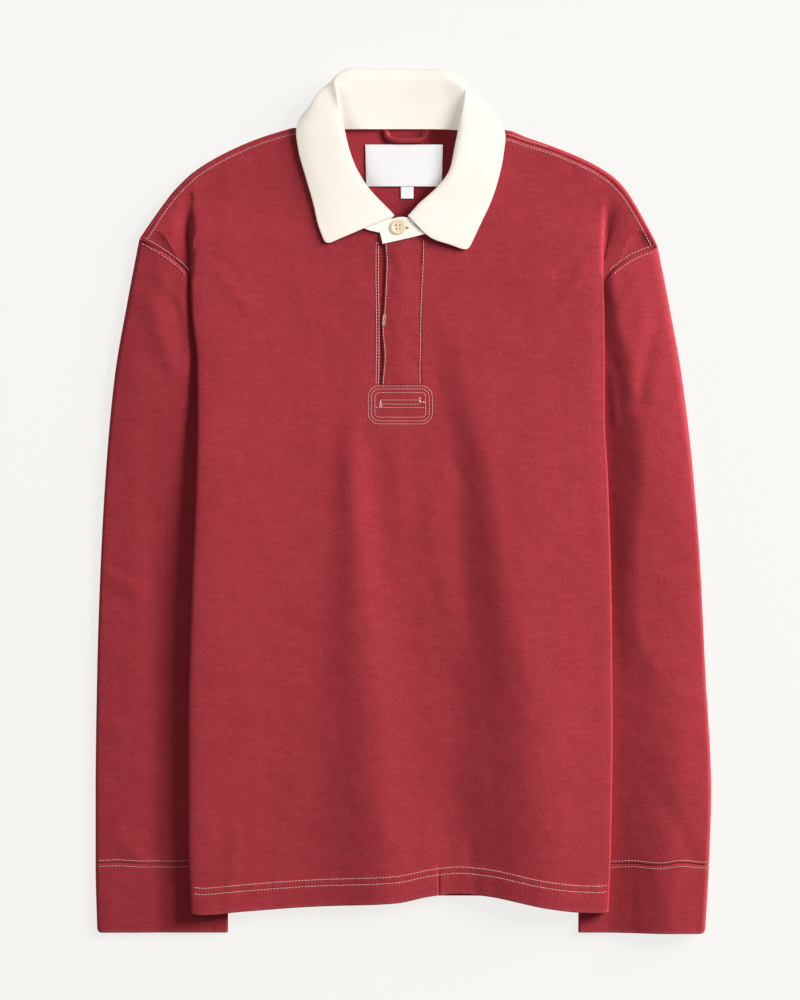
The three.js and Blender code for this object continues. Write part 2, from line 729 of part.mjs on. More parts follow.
// Plan place on a sleeve: down is 0 at the armhole and 1 at the cuff seam, across is 0 at the outer edge
function sleevePlace(side, down, across) {
  const sign = SIDES[side];
  const armhole = ARMHOLE[side];
  const top = armhole[armhole.length - 1];
  const outerY = mix(top.y, CUFF_SEAM_Y + SEAM_GAP, down);
  const innerY = mix(UNDERARM_Y, CUFF_SEAM_Y + SEAM_GAP, down);
  const outerX = sleeveEdge[side](outerY);
  const innerX = mix(armhole[0].x, 158, down);
  const seamY = mix(top.y, UNDERARM_Y, across);
  const seamX = armholeX[side](seamY) + SEAM_GAP * 2;
  const bulge = 1 - ramp(0, 0.5, down);
  const straightX = mix(top.x, armhole[0].x, across);
  const x = mix(outerX, innerX, across) + (seamX - straightX) * bulge;
  return new THREE.Vector3(sign * x, mix(outerY, innerY, across), 0);
}

const RING_STEPS = { top: 11, turn: 4, under: 4 };

function sleeve(side) {
  const rows = 18;
  const grid = [];
  for (let j = 0; j <= rows; j += 1) {
    const down = (j / rows) ** 1.25;
    const place = (across) => sleevePlace(side, down, across);
    const heightAt = (x, y) => sleeveHeight(side, x, y);
    grid.push(flatRing(side, place, heightAt, RING_STEPS));
  }
  return wall(grid.reverse(), JERSEY, { ring: true });
}

function cuff(side) {
  const sign = SIDES[side];
  const rows = 3;
  const grid = [];
  for (let j = 0; j <= rows; j += 1) {
    const y = mix(CUFF_END_Y, CUFF_SEAM_Y - SEAM_GAP, j / rows);
    const outer = sleeveEdge[side](y);
    const place = (across) => new THREE.Vector3(sign * mix(outer, 158, across), y, 0);
    const heightAt = (x) => sleeveHeight(side, x, CUFF_SEAM_Y);
    grid.push(flatRing(side, place, heightAt, RING_STEPS));
  }
  return wall(grid, JERSEY, { ring: true });
}

// Collar

// Height that cloth lying on the front needs at a place, or nothing beyond the front
function onFront(x, y) {
  const side = sideOf(x);
  const seam = shoulderY[side](Math.abs(x)) - seamInset[side](Math.abs(x));
  const inside = ramp(seam + 6, seam - 2, y);
  return (frontHeight(x, Math.min(y, seam)) + (JERSEY + TWILL) / 2 + SEAM_GAP) * inside;
}

function collarControls(row) {
  const seam = new THREE.Vector3(...row.seam);
  const roll = new THREE.Vector3(...row.roll);
  const leaf = new THREE.Vector3(...row.leaf);
  const edge = new THREE.Vector3(...row.edge);
  const toSeam = new THREE.Vector3(seam.x - roll.x, seam.y - roll.y, 0).normalize();
  const toLeaf = new THREE.Vector3(leaf.x - roll.x, leaf.y - roll.y, 0).normalize();
  const before = roll.clone().addScaledVector(toSeam, row.turn * 1.3);
  const after = roll.clone().addScaledVector(toLeaf, row.turn * 1.3);
  before.z = roll.z - row.turn * (1 + row.over);
  after.z = roll.z - row.turn * (1 - row.over);
  roll.z -= row.turn * Math.abs(row.over);
  seam.z = Math.max(seam.z, onFront(seam.x, seam.y) + 0.1);
  edge.z = Math.max(edge.z, onFront(edge.x, edge.y));
  const stand = seam.clone().lerp(before, 0.5);
  const fall = leaf.clone().lerp(edge, 0.5);
  fall.z = Math.max(mix(leaf.z, edge.z, 0.55), onFront(fall.x, fall.y));
  return [seam, stand, before, roll, after, leaf, fall, edge];
}

function collarGrid(between, stepsAcross) {
  const controls = COLLAR.map(collarControls);
  const lines = controls[0].map((_, k) => new THREE.CatmullRomCurve3(controls.map((set) => set[k])));
  const count = (COLLAR.length - 1) * between;
  const grid = [];
  for (let j = 0; j <= count; j += 1) {
    const section = new THREE.CatmullRomCurve3(lines.map((line) => line.getPoint(j / count)));
    grid.push(stepsAcross.map((step) => section.getPoint(step / 7)));
  }
  return grid;
}

// Steps along a collar section, closer round the roll, which is control point 3
const COLLAR_STEPS = [0, 0.7, 1.4, 2, 2.5, 3, 3.5, 4, 4.6, 5.3, 6.1, 7];

function collar() {
  return wall(collarGrid(2, COLLAR_STEPS), TWILL);
}

// Height of the band end, which climbs from the flap to the roll of the collar
function bandHeight(x, y) {
  const onFlap = frontHeight(x, 236) + FLAP_CROWN + (JERSEY + TRIM) / 2 + SEAM_GAP;
  return mix(onFlap, BAND_TOP, ramp(236, 252, y));
}

// End of the collar band that laps over the wearer's right front
function collarBandOver() {
  const low = [[-18.4, 230.4], [-5, 233.4], [8, 236.4], [20, 239.4]];
  const high = [[-21, 241.2], [-9.4, 250.6], [4, 250.8], [14.5, 243.6]];
  const grid = [0, 0.34, 0.67, 1].map((t) => low.map((_, i) => {
    const x = mix(low[i][0], high[i][0], t);
    const y = mix(low[i][1], high[i][1], t);
    return new THREE.Vector3(x, y, bandHeight(x, y));
  }));
  return wall(grid, TRIM);
}

// Placket

function placketFlap() {
  const rows = 12;
  const across = [0, 0.05, 0.2, 0.5, 0.8, 1];
  const grid = [];
  for (let j = 0; j <= rows; j += 1) {
    const y = mix(SLIT_Y + SEAM_GAP, 238, j / rows);
    const right = Math.max(flapEdge(y), SLIT_RIGHT + 2 * SEAM_GAP);
    grid.push(across.map((t) => {
      const x = mix(right, SLIT_LEFT - SEAM_GAP, t);
      const crown = FLAP_CROWN * Math.sin(Math.PI * clamp(t * 1.2, 0, 1));
      return new THREE.Vector3(x, y, frontHeight(x, y) + crown);
    }));
  }
  return wall(grid, JERSEY);
}

// Facing under the slit, lying on the inside of the back
function placketUnder() {
  const rows = 6;
  const grid = [];
  for (let j = 0; j <= rows; j += 1) {
    const y = mix(SLIT_Y - 6, 237, j / rows);
    grid.push([-27, -12, 4, 20].map((x) => {
      const z = frontHeight(x, y) - (JERSEY + TRIM) / 2 - SEAM_GAP;
      return new THREE.Vector3(x, y, z);
    }));
  }
  return wall(grid, TRIM);
}

// Small pieces

function neckLabel() {
  const z = JERSEY + SEAM_GAP + TRIM / 2;
  const grid = [0, 0.5, 1].map((v) => [0, 0.2, 0.4, 0.6, 0.8, 1].map((u) => new THREE.Vector3(
    mix(LABEL.right, LABEL.left, u) + 0.8 * (0.5 - v) * (1 - 2 * u),
    mix(LABEL.low, LABEL.high, v),
    z + 0.5 * Math.sin(Math.PI * u) ** 2 * (1 - v),
  )));
  return wall(grid, TRIM);
}

function sizeTab() {
  const z = JERSEY + SEAM_GAP + TRIM / 2;
  const grid = [0, 1].map((v) => [0, 1].map((u) => new THREE.Vector3(
    mix(TAB.right, TAB.left, u),
    mix(TAB.low, TAB.high, v),
    z,
  )));
  return wall(grid, TRIM);
}

function hangerLoop() {
  const lift = JERSEY + SEAM_GAP + LOOP.thick / 2;
  const middle = (LOOP.from + LOOP.to) / 2;
  const onLabel = lift + TRIM + SEAM_GAP + 0.6;
  const path = new THREE.CatmullRomCurve3([
    new THREE.Vector3(LOOP.from, 330, lift),
    new THREE.Vector3(LOOP.from + 3.4, 325.4, lift + 0.6),
    new THREE.Vector3(middle - 9, LOOP.sag + 0.3, onLabel),
    new THREE.Vector3(middle + 2, LOOP.sag, onLabel + 0.4),
    new THREE.Vector3(middle + 12, LOOP.sag + 0.8, onLabel),
    new THREE.Vector3(LOOP.to - 2.6, 325.8, lift + 0.6),
    new THREE.Vector3(LOOP.to, 330, lift),
  ]);
  const section = new THREE.Shape();
  section.absellipse(0, 0, LOOP.thick / 2, LOOP.width / 2, 0, 2 * Math.PI);
  const geometry = new THREE.ExtrudeGeometry(section, { steps: 24, curveSegments: 4, extrudePath: path });
  return positionsOnly(geometry);
}

function positionsOnly(geometry) {
  const bare = geometry.index ? geometry.toNonIndexed() : geometry.clone();
  bare.deleteAttribute('normal');
  bare.deleteAttribute('uv');
  return mergeVertices(bare, 1e-4);
}

const wasm = await Module();
wasm.setup();

function solid(geometry) {
  const bare = positionsOnly(geometry);
  return new wasm.Manifold(new wasm.Mesh({
    numProp: 3,
    vertProperties: new Float32Array(bare.attributes.position.array),
    triVerts: new Uint32Array(bare.index.array),
  }));
}

function geometryOf(manifold) {
  const mesh = manifold.getMesh();
  const geometry = new THREE.BufferGeometry();
  geometry.setAttribute('position', new THREE.Float32BufferAttribute(mesh.vertProperties, 3));
  geometry.setIndex(Array.from(mesh.triVerts));
  return geometry;
}

// The button lies level on the highest part of the band below it
const BUTTON_SEAT = bandHeight(BUTTON.x, BUTTON.y + BUTTON.radius * 0.8) + TRIM / 2 + SEAM_GAP;

// Button with a rim, a dished middle and four holes, face up
function button() {
  const { radius, thick, hole, holeAt } = BUTTON;
  const profile = [
    [0, 0], [radius * 0.8, 0], [radius, thick * 0.45], [radius * 0.97, thick * 0.8],
    [radius * 0.86, thick], [radius * 0.7, thick * 0.8], [radius * 0.5, thick * 0.62], [0, thick * 0.58],
  ].map(([r, z]) => new THREE.Vector2(r, z));
  const disc = new THREE.LatheGeometry(profile, 28).rotateX(Math.PI / 2);
  let body = solid(disc);
  for (const signX of [-1, 1]) {
    for (const signY of [-1, 1]) {
      const drill = new THREE.CylinderGeometry(hole, hole, 3 * thick, 10).rotateX(Math.PI / 2);
      drill.translate(signX * holeAt, signY * holeAt, 0);
      body = body.subtract(solid(drill));
    }
  }
  return geometryOf(body);
}

// The shirt

const RED = new THREE.Color(0xa8383f);
const CREAM = new THREE.Color(0xf6ede0);
const WHITE = new THREE.Color(0xebeae9);
const BUTTON_CREAM = new THREE.Color(0xf0debe);

const shirt = new THREE.Group();

function add(name, geometry, color, roughness = 0.9) {
  const material = new THREE.MeshStandardMaterial({ color, roughness, metalness: 0 });
  const mesh = new THREE.Mesh(geometry, material);
  mesh.name = name;
  shirt.add(mesh);
  return mesh;
}

add('front', frontPanel(), RED);
add('back', backPanel(), RED);
for (const side of Object.keys(SIDES)) {
  add(`sleeve_${side}`, sleeve(side), RED);
  add(`cuff_${side}`, cuff(side), RED);
}
add('collar', collar(), CREAM, 0.85);
add('collar_band_over', collarBandOver(), CREAM, 0.85);
add('placket_flap', placketFlap(), RED);
add('placket_under', placketUnder(), RED);
add('hanger_loop', hangerLoop(), RED);
add('neck_label', neckLabel(), WHITE, 0.7);
add('size_tab', sizeTab(), WHITE, 0.7);
const buttonMesh = add('button', button(), BUTTON_CREAM, 0.4);
buttonMesh.position.set(BUTTON.x, BUTTON.y, BUTTON_SEAT);

export default shirt;
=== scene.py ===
import json
import math
from functools import partial

import bmesh
import bpy
import numpy as np
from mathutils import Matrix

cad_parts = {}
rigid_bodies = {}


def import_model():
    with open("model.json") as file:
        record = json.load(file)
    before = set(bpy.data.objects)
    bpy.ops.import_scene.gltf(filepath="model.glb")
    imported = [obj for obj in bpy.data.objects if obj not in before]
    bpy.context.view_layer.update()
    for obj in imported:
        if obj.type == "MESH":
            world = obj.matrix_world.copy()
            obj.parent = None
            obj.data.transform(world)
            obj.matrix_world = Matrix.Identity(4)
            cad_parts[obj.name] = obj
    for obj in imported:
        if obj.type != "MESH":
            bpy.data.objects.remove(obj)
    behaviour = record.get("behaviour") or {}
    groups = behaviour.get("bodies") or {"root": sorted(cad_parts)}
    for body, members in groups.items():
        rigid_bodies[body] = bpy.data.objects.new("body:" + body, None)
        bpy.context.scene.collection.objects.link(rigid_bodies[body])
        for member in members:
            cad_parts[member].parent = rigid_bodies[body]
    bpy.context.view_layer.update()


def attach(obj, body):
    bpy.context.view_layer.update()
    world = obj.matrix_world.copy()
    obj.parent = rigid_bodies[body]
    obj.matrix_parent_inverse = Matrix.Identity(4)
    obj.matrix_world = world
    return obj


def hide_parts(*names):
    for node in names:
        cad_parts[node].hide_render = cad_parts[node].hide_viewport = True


# A rugby shirt laid flat with its front up. Lengths here are millimetres in the frame of the part,
# and MM turns them into metres where a mesh is made.
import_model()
MM = 0.001
RANDOM = np.random.default_rng(7)

# Cloth
JERSEY = 1.2
TWILL = 1.5
TRIM = 1.0
SEAM_GAP = 0.3
JERSEY_SEAM = 0.06  # half of the groove that shows between two sewn panels

# Plan
HEM_Y = -371
UNDERARM_Y = 60
CUFF_SEAM_Y = -326
CUFF_END_Y = -388
SLIT_Y = 104
SLIT_RIGHT = -20.8
SLIT_LEFT = 17
NECK_POINT = 79
SIDE_SEAM = 146
BACK_HEM_RISE = 14

# Levels in plan between which parts of the front change over
SHOULDER_LOW, SHOULDER_HIGH = 232, 272  # the tucked edge runs out into the shoulder
UNDERARM_LOW = UNDERARM_Y - 24  # from here up the side seam opens into the armhole
TUCK_OPENS, TUCK_OPEN = 196, 226  # seam levels over which the tucked side comes out from under
SHOULDER_BEND = 60  # how far below the shoulder seam the front starts to follow its curve
NECK_CENTRE = 306
FRONT_END = 290  # where the edge of the body reaches the shoulder seam, about

# Heights of the middle of each wall
GROUND_LAYER = JERSEY / 2
FRONT_LOWEST = 2.7
FRONT_DEEPEST = 2.2  # where it rests on the back under the arm
SHOULDER_HEIGHT = 6.8
FOLD_RADIUS = 1.5
TUCK_HEIGHT = 5.4
SLEEVE_COVERED = 3.5
ARMPIT_DENT = 5.6  # hollow between the shoulder point and the edge of the body
FLAP_CROWN = 0.5
BAND_TOP = 9

# Rows of stitches
SEAM_ROW = 2.7  # from a seam to the row beside it
HEM_ROWS = (18.5, 24)  # above the hem
HEM_JOINT = 32  # where the turned hem is joined into a ring
SLIT_ROWS = (3.4, 1.2)  # from the edge of the slit on the wearer's right
FLAP_ROW = 1.6
CUFF_JOINT = 171.6  # underarm seam of the cuff

SIDES = {"right": -1, "left": 1}


def table(names, rows):
    """Columns of a table by name."""
    return dict(zip(names.split(), (np.array(column, float) for column in zip(*rows))))


BODY_EDGE = table("y right left", [
    (-371, 189, 183.5),
    (-313, 191.7, 185.8),
    (-206, 192, 187.2),
    (-89, 189, 186.3),
    (18, 185, 183.3),
    (78, 184, 180.3),
    (127, 184.5, 180.4),
    (168, 189, 180),
    (202, 190, 179.4),
    (259, 189, 180.5),
    (290, 196, 187),
])

SLEEVE_EDGE = table("y right left", [
    (-388, 274.5, 270.5),
    (-326, 276, 274),
    (-260, 276, 276),
    (-150, 274.5, 270.8),
    (-57, 271.4, 266.2),
    (33, 266.2, 259),
    (111, 258.8, 249.7),
    (178, 247.4, 238),
    (236, 236.4, 226.5),
])

ARMHOLE = {
    "right": table("x y", [
        (156.5, 60), (159, 120), (166, 160), (178, 186),
        (192.3, 203.3), (199.2, 210.7), (215.7, 223.1), (236.2, 235.2),
    ]),
    "left": table("x y", [
        (155.5, 60), (157.5, 120), (163, 160), (174, 186),
        (186.2, 203.8), (193.2, 210.5), (206.9, 219.5), (228.2, 227.9),
    ]),
}

SHOULDER = {
    "right": table("x y inset", [
        (70, 334.4, 2.4), (95, 334.4, 2.4), (111, 330.5, 2.2), (130.3, 324.3, 2.2),
        (157.8, 312.3, 2.2), (185.4, 296.1, 2.2), (204.7, 278.2, 2.2), (219.8, 258.8, 2.2),
        (230.9, 241.5, 2.1), (236.4, 235.2, 2),
    ]),
    "left": table("x y inset", [
        (70, 334.4, 8), (91, 333.3, 7), (110.5, 325.9, 5), (138, 316.1, 4),
        (165.6, 304.3, 4), (186.2, 292, 3.8), (200, 278.2, 3.4), (213.8, 256.1, 3),
        (223.4, 238.2, 2.6), (228.3, 227.9, 2.2),
    ]),
}

FRONT_NECK = table("x y", [(0, 238), (21, 239), (31, 244), (48, 256), (61, 274), (70, 297), (74.5, 318)])

FRONT_HEM = table("x y", [
    (-192, -366.5), (-187, -369.9), (-181, -370.9), (-146, -368.3), (-84, -364.1),
    (-8, -360.7), (28, -354.2), (50, -352.4), (75.5, -354.5), (130, -365.2),
    (158, -368.6), (177, -369.2), (182, -368.2), (187, -365.4),
])

FLAP_EDGE = table("y x", [
    (104, -19.6), (130, -17.6), (154, -19.2), (174.5, -17.5), (215, -15.8), (240, -17.6),
])

# Height of the front between its folds
FRONT_LIES = table("y height", [
    (-372, 8), (-188, 9), (-44, 8.6), (28, 7.6), (91, 6.6), (130, 6.2), (272, 6),
])

# Folds of the front that run down it: place across, half width and height at each level.
# FRONT_RISE is a step up to the wearer's left, onto the cloth that is tucked under there.
FRONT_RISE = table("y x width height", [
    (-372, 109, 43, 12.4),
    (-314, 108, 42, 13),
    (-260, 101, 41, 13),
    (-188, 96, 36, 12),
    (-116, 83, 24, 9.4),
    (-44, 74, 17, 6.8),
    (28, 67, 14, 4.8),
    (91, 50, 12, 2.8),
    (130, 42, 11, 1.6),
    (175, 36, 11, 0),
])
FRONT_RIDGES = [
    table("y x width height", [
        (-372, -17, 38, 4.8), (-314, -19, 36, 5), (-260, -26, 33, 4.8), (-188, -30, 27, 3.9),
        (-116, -37, 23, 3.5), (-44, -41, 16, 2.9), (28, -46, 12, 2.2), (90, -44, 9, 0),
    ]),
    table("y x width height", [
        (-188, 54, 12, 0), (-116, 50, 12, 0.7), (-44, 30, 12, 0.5), (28, 26, 10, 0),
    ]),
]

# Top of the tucked edge of the body, how far it sinks at the turn, and how wide it thins inwards
RIM = table("y right left", [
    (-372, 13.6, 12), (-100, 15.2, 12), (28, 14, 9.6), (130, 11, 7.6), (200, 9.8, 7.4), (260, 9, 7.2),
])
RIM_SINK = {"right": 0.4, "left": 0.8}
RIM_WIDTH = 66

# Upper wall of each sleeve: height of its crest, distance to it from the edge of the body, how late it
# climbs and how far it falls from its crest to the outer edge
SLEEVE_FORM = {
    "right": table("y crest reach late fall", [
        (-388, 4.2, 60, 1.2, 0.4), (-326, 4.3, 60, 1.2, 0.5), (-200, 4.4, 60, 1.2, 0.6),
        (-116, 4.6, 56, 1.2, 0.7), (-44, 5.2, 46, 1.1, 1), (28, 5.9, 32, 1, 1.4),
        (100, 6.9, 16, 1, 2), (160, 7.2, 8, 1, 2.2), (236, 6.8, 6, 1, 2.2),
    ]),
    "left": table("y crest reach late fall", [
        (-388, 11, 62, 0.9, 1.2), (-326, 12.6, 64, 0.9, 1.4), (-260, 12, 66, 0.9, 1.5),
        (-188, 9.6, 66, 0.8, 1.8), (-116, 8.6, 30, 0.9, 2), (-44, 10.8, 29, 0.9, 2.2),
        (28, 12.6, 40, 0.9, 2.4), (91, 11.8, 34, 1.1, 2.4), (130, 10, 27, 1.1, 2.4),
        (160, 8.6, 18, 1, 2.4), (236, 7, 6, 1, 2.2),
    ]),
}
SLEEVE_ROLL = 34
SLEEVE_LEAD = {"right": 1, "left": 3}  # how far under the body a sleeve starts to climb

# Finer creases over the main folds
FRONT_CREASES = table("x1 y1 x2 y2 width height", [
    (-176, 224, -150, 205, 4, -0.5),
    (-172, 210, -140, 176, 5, 0.6),
    (168, 232, 140, 206, 4, -0.5),
    (166, 214, 138, 172, 5, 0.6),
    (-30, 66, -60, 20, 5, -0.35),
    (26, 66, 58, 10, 5, -0.35),
    (-6, 64, -2, -20, 9, 0.5),
    (60, -300, 66, -372, 6, -0.5),
    (20, -280, 28, -372, 7, 0.4),
    (-150, -280, -156, -371, 6, 0.4),
])

SLEEVE_CREASES = {
    "right": table("x1 y1 x2 y2 width height", [
        (-222, 210, -200, 176, 4, 0.6),
        (-212, 200, -196, 150, 4, -0.5),
        (-232, 190, -206, 120, 9, 0.8),
        (-272, -60, -236, -84, 6, 0.5),
        (-268, -210, -228, -196, 7, 0.5),
        (-262, -296, -226, -330, 8, 0.6),
        (-218, 30, -221, -400, 15, -1.3),
    ]),
    "left": table("x1 y1 x2 y2 width height", [
        (214, 206, 196, 176, 4, 0.6),
        (229, 180, 212, 92, 7, -1.2),
        (185, 116, 190, 74, 4, 1.2),
        (181, 124, 192, 122, 3.4, -1),
        (268, -90, 232, -112, 6, 0.5),
        (222, -250, 262, -322, 10, -0.8),
    ]),
}

# A row for each section of the collar: seam, roll, leaf and edge points, size of the turn at the roll,
# and where the cloth goes from there: 1 over its stand, -1 under it
COLLAR = [
    ((-21.6, 240.6, 5.5), (-8.2, 255.5, 12), (-39, 242.6, 11.6), (-69.4, 229.8, 8.6), 2, 1),
    ((-35, 244.5, 5.5), (-20, 267.5, 13), (-48, 256, 12.4), (-76, 247, 8.6), 2, 1),
    ((-51, 256.5, 5.5), (-33.7, 283.2, 14.4), (-58, 274, 13.4), (-81, 268.5, 8.8), 2.2, 1),
    ((-64, 274, 5.5), (-43.5, 300, 16), (-66, 294, 14.6), (-87.4, 290.5, 9), 2.4, 1),
    ((-73, 297, 6), (-50.3, 320.4, 17.6), (-72, 317, 16), (-94, 315, 9.4), 2.8, 1),
    ((-77, 317, 7), (-55, 342, 19.4), (-77, 340, 16.6), (-95.4, 336, 9.5), 3, 0.8),
    ((-70, 331, 5), (-59, 362, 20), (-79, 359, 13.6), (-88, 348, 4), 3.4, 0),
    ((-58, 333.8, 3), (-60.5, 378.5, 18), (-68, 372, 9), (-74, 345, 2.3), 3.6, -0.7),
    ((-46, 334.2, 2.6), (-50, 386.4, 16), (-53, 374, 4.5), (-54, 343, 2.1), 4, -1),
    ((-24, 334.4, 2.6), (-26, 386.5, 14.6), (-26, 373, 4), (-27, 341.5, 2.1), 4, -1),
    ((0, 334.4, 2.6), (-1, 386.5, 14.2), (-1, 373, 4), (0, 341, 2.1), 4, -1),
    ((24, 334.4, 2.6), (22, 386, 15), (23, 373, 4), (27, 341.5, 2.1), 4, -1),
    ((43, 333.8, 2.6), (38, 384.6, 16.6), (43, 372, 4.5), (50, 343, 2.1), 4, -1),
    ((55, 332.4, 3), (54.5, 372, 19), (63, 364, 9), (68, 345, 2.3), 3.6, -0.7),
    ((67, 328, 5), (55.6, 359, 21), (75, 354, 13.8), (82, 345, 4), 3.4, 0),
    ((76, 313, 7), (51.4, 339.5, 20), (73, 336, 16.8), (91, 331, 9.5), 3, 0.8),
    ((72, 294, 6), (46.5, 316, 18), (68, 313, 16), (90, 311, 9.4), 2.8, 1),
    ((63, 273, 5.5), (41.8, 295, 16), (63, 291, 14.4), (86, 291, 9), 2.4, 1),
    ((50, 256, 5.5), (31, 281, 14.2), (54, 271, 13.2), (79, 269, 8.8), 2.2, 1),
    ((34, 244.5, 5.5), (15, 266.5, 12.8), (40, 253, 12.2), (69, 247.5, 8.6), 2, 1),
    ((25, 240, 5.5), (4.4, 255, 11.8), (24, 236.4, 11.2), (58, 224, 8.6), 2, 1),
]

BUTTON = {"x": -4.6, "y": 245.3, "radius": 6.75, "thick": 2.6, "hole": 0.85, "hole_at": 1.7}
LABEL = {"right": -33.6, "left": 35.2, "low": 282.8, "high": 320.4}
TAB = {"right": -2, "left": 9.3, "low": 271.9, "high": 282.4}
LOOP = {"width": 4.6, "thick": 2, "from": -16.4, "to": 21.4, "sag": 323.4, "top": 333.6}


# Small mathematics, on numbers or arrays

def mix(a, b, t):
    """Straight from a at 0 to b at 1."""
    return a + (b - a) * t


def ramp(start, end, at):
    """Smoothly from 0 at the start to 1 at the end, either way round."""
    t = np.clip((at - start) / (end - start), 0, 1)
    return t * t * (3 - 2 * t)


def through(rows, at, value):
    """Smooth curve through a table, one column against another, with no overshoot."""
    places = rows[at]
    values = rows[value]
    rises = np.diff(values) / np.diff(places)
    before = np.concatenate([rises[:1], rises])
    after = np.concatenate([rises, rises[-1:]])
    same = before * after > 0
    slopes = np.where(same, 2 * before * after / np.where(same, before + after, 1), 0)

    def curve(place):
        p = np.clip(place, places[0], places[-1])
        i = np.clip(np.searchsorted(places, p) - 1, 0, len(places) - 2)
        span = places[i + 1] - places[i]
        t = (p - places[i]) / span
        bend = t * t * (3 - 2 * t)
        lead = t * (1 - t) ** 2 * span * slopes[i]
        tail = t * t * (1 - t) * span * slopes[i + 1]
        return mix(values[i], values[i + 1], bend) + lead - tail

    return curve


def curves(rows, at="y"):
    """Curves of all the other columns of a table, by name."""
    return {name: through(rows, at, name) for name in rows if name != at}


def fold_height(folds, x, y):
    """Height that ridges and troughs add at a place."""
    height = np.zeros_like(np.asarray(x, float) + np.asarray(y, float))
    for x1, y1, x2, y2, width, rise in zip(*folds.values()):
        length = math.hypot(x2 - x1, y2 - y1)
        reach = ((x - x1) * (x2 - x1) + (y - y1) * (y2 - y1)) / length ** 2
        across = ((x - x1) * (y2 - y1) - (y - y1) * (x2 - x1)) / length
        fade = ramp(-0.12, 0.25, reach) * (1 - ramp(1.02, 1.25, reach))
        height = height + rise * fade * np.exp(-((across / width) ** 2))
    return height


def spline(points, places):
    """Centripetal curve through points, at places from 0 to 1."""
    points = np.asarray(points, float)
    padded = np.vstack([2 * points[0] - points[1], points, 2 * points[-1] - points[-2]])
    p = np.clip(np.asarray(places, float), 0, 1) * (len(points) - 1)
    i = np.minimum(p.astype(int), len(points) - 2)
    t = (p - i)[:, None]
    a, b, c, d = (padded[i + k] for k in range(4))
    chords = (b - a, c - b, d - c)
    gap = [np.maximum(np.linalg.norm(chord, axis=1) ** 0.5, 1e-4)[:, None] for chord in chords]
    leave = ((b - a) / gap[0] - (c - a) / (gap[0] + gap[1]) + (c - b) / gap[1]) * gap[1]
    arrive = ((c - b) / gap[1] - (d - b) / (gap[1] + gap[2]) + (d - c) / gap[2]) * gap[1]
    square = -3 * b + 3 * c - 2 * leave - arrive
    cube = 2 * b - 2 * c + leave + arrive
    return b + leave * t + square * t ** 2 + cube * t ** 3


def waves(x, y, size, seed):
    """Gentle irregular unevenness between -1 and 1, over lengths of about size."""
    phases = np.random.default_rng(seed).uniform(0, 2 * math.pi, (6, 3))
    total = 0
    for turn, (first, second, third) in enumerate(phases):
        angle = first
        pitch = size * (0.75 + 0.13 * turn)
        along = (x * math.cos(angle) + y * math.sin(angle)) / pitch
        cross = (y * math.cos(angle) - x * math.sin(angle)) / (pitch * 1.7)
        total = total + np.sin(2 * math.pi * along + second) * np.cos(2 * math.pi * cross + third)
    return total / 3


edge_of = curves(BODY_EDGE)
sleeve_edge_of = curves(SLEEVE_EDGE)
armhole_x = {side: through(ARMHOLE[side], "y", "x") for side in SIDES}
shoulder_y = {side: through(SHOULDER[side], "x", "y") for side in SIDES}
seam_inset = {side: through(SHOULDER[side], "x", "inset") for side in SIDES}
front_hem = through(FRONT_HEM, "x", "y")
front_neck = through(FRONT_NECK, "x", "y")
front_lies = through(FRONT_LIES, "y", "height")
flap_edge = through(FLAP_EDGE, "y", "x")
rise_of = curves(FRONT_RISE)
ridges_of = [curves(ridge) for ridge in FRONT_RIDGES]
rim_of = curves(RIM)
sleeve_form = {side: curves(SLEEVE_FORM[side]) for side in SIDES}


def by_side(curves, x, at):
    """A left and a right curve, chosen by the side on which x lies."""
    return np.where(np.asarray(x) < 0, curves["right"](at), curves["left"](at))


def shoulder_point(side, x, inset):
    """Point set in from the shoulder outline."""
    step = 2
    rise = shoulder_y[side](x + step) - shoulder_y[side](x - step)
    length = np.hypot(2 * step, rise)
    return x + rise / length * inset, shoulder_y[side](x) - 2 * step / length * inset


def shoulder_seam_y(side, x):
    """Seam edge of the front along the shoulder."""
    outline_x = x
    for _ in range(8):
        place = shoulder_point(side, outline_x, seam_inset[side](outline_x) + JERSEY_SEAM)
        outline_x = outline_x + x - place[0]
    return place[1]


# Meshes

def grid_normals(grid, ring):
    """Outward direction at each point of a grid; a ring's columns close on themselves."""
    if ring:
        across = np.roll(grid, -1, axis=1) - np.roll(grid, 1, axis=1)
    else:
        across = np.gradient(grid, axis=1)
    normals = np.cross(across, np.gradient(grid, axis=0))
    return normals / np.maximum(np.linalg.norm(normals, axis=2, keepdims=True), 1e-9)


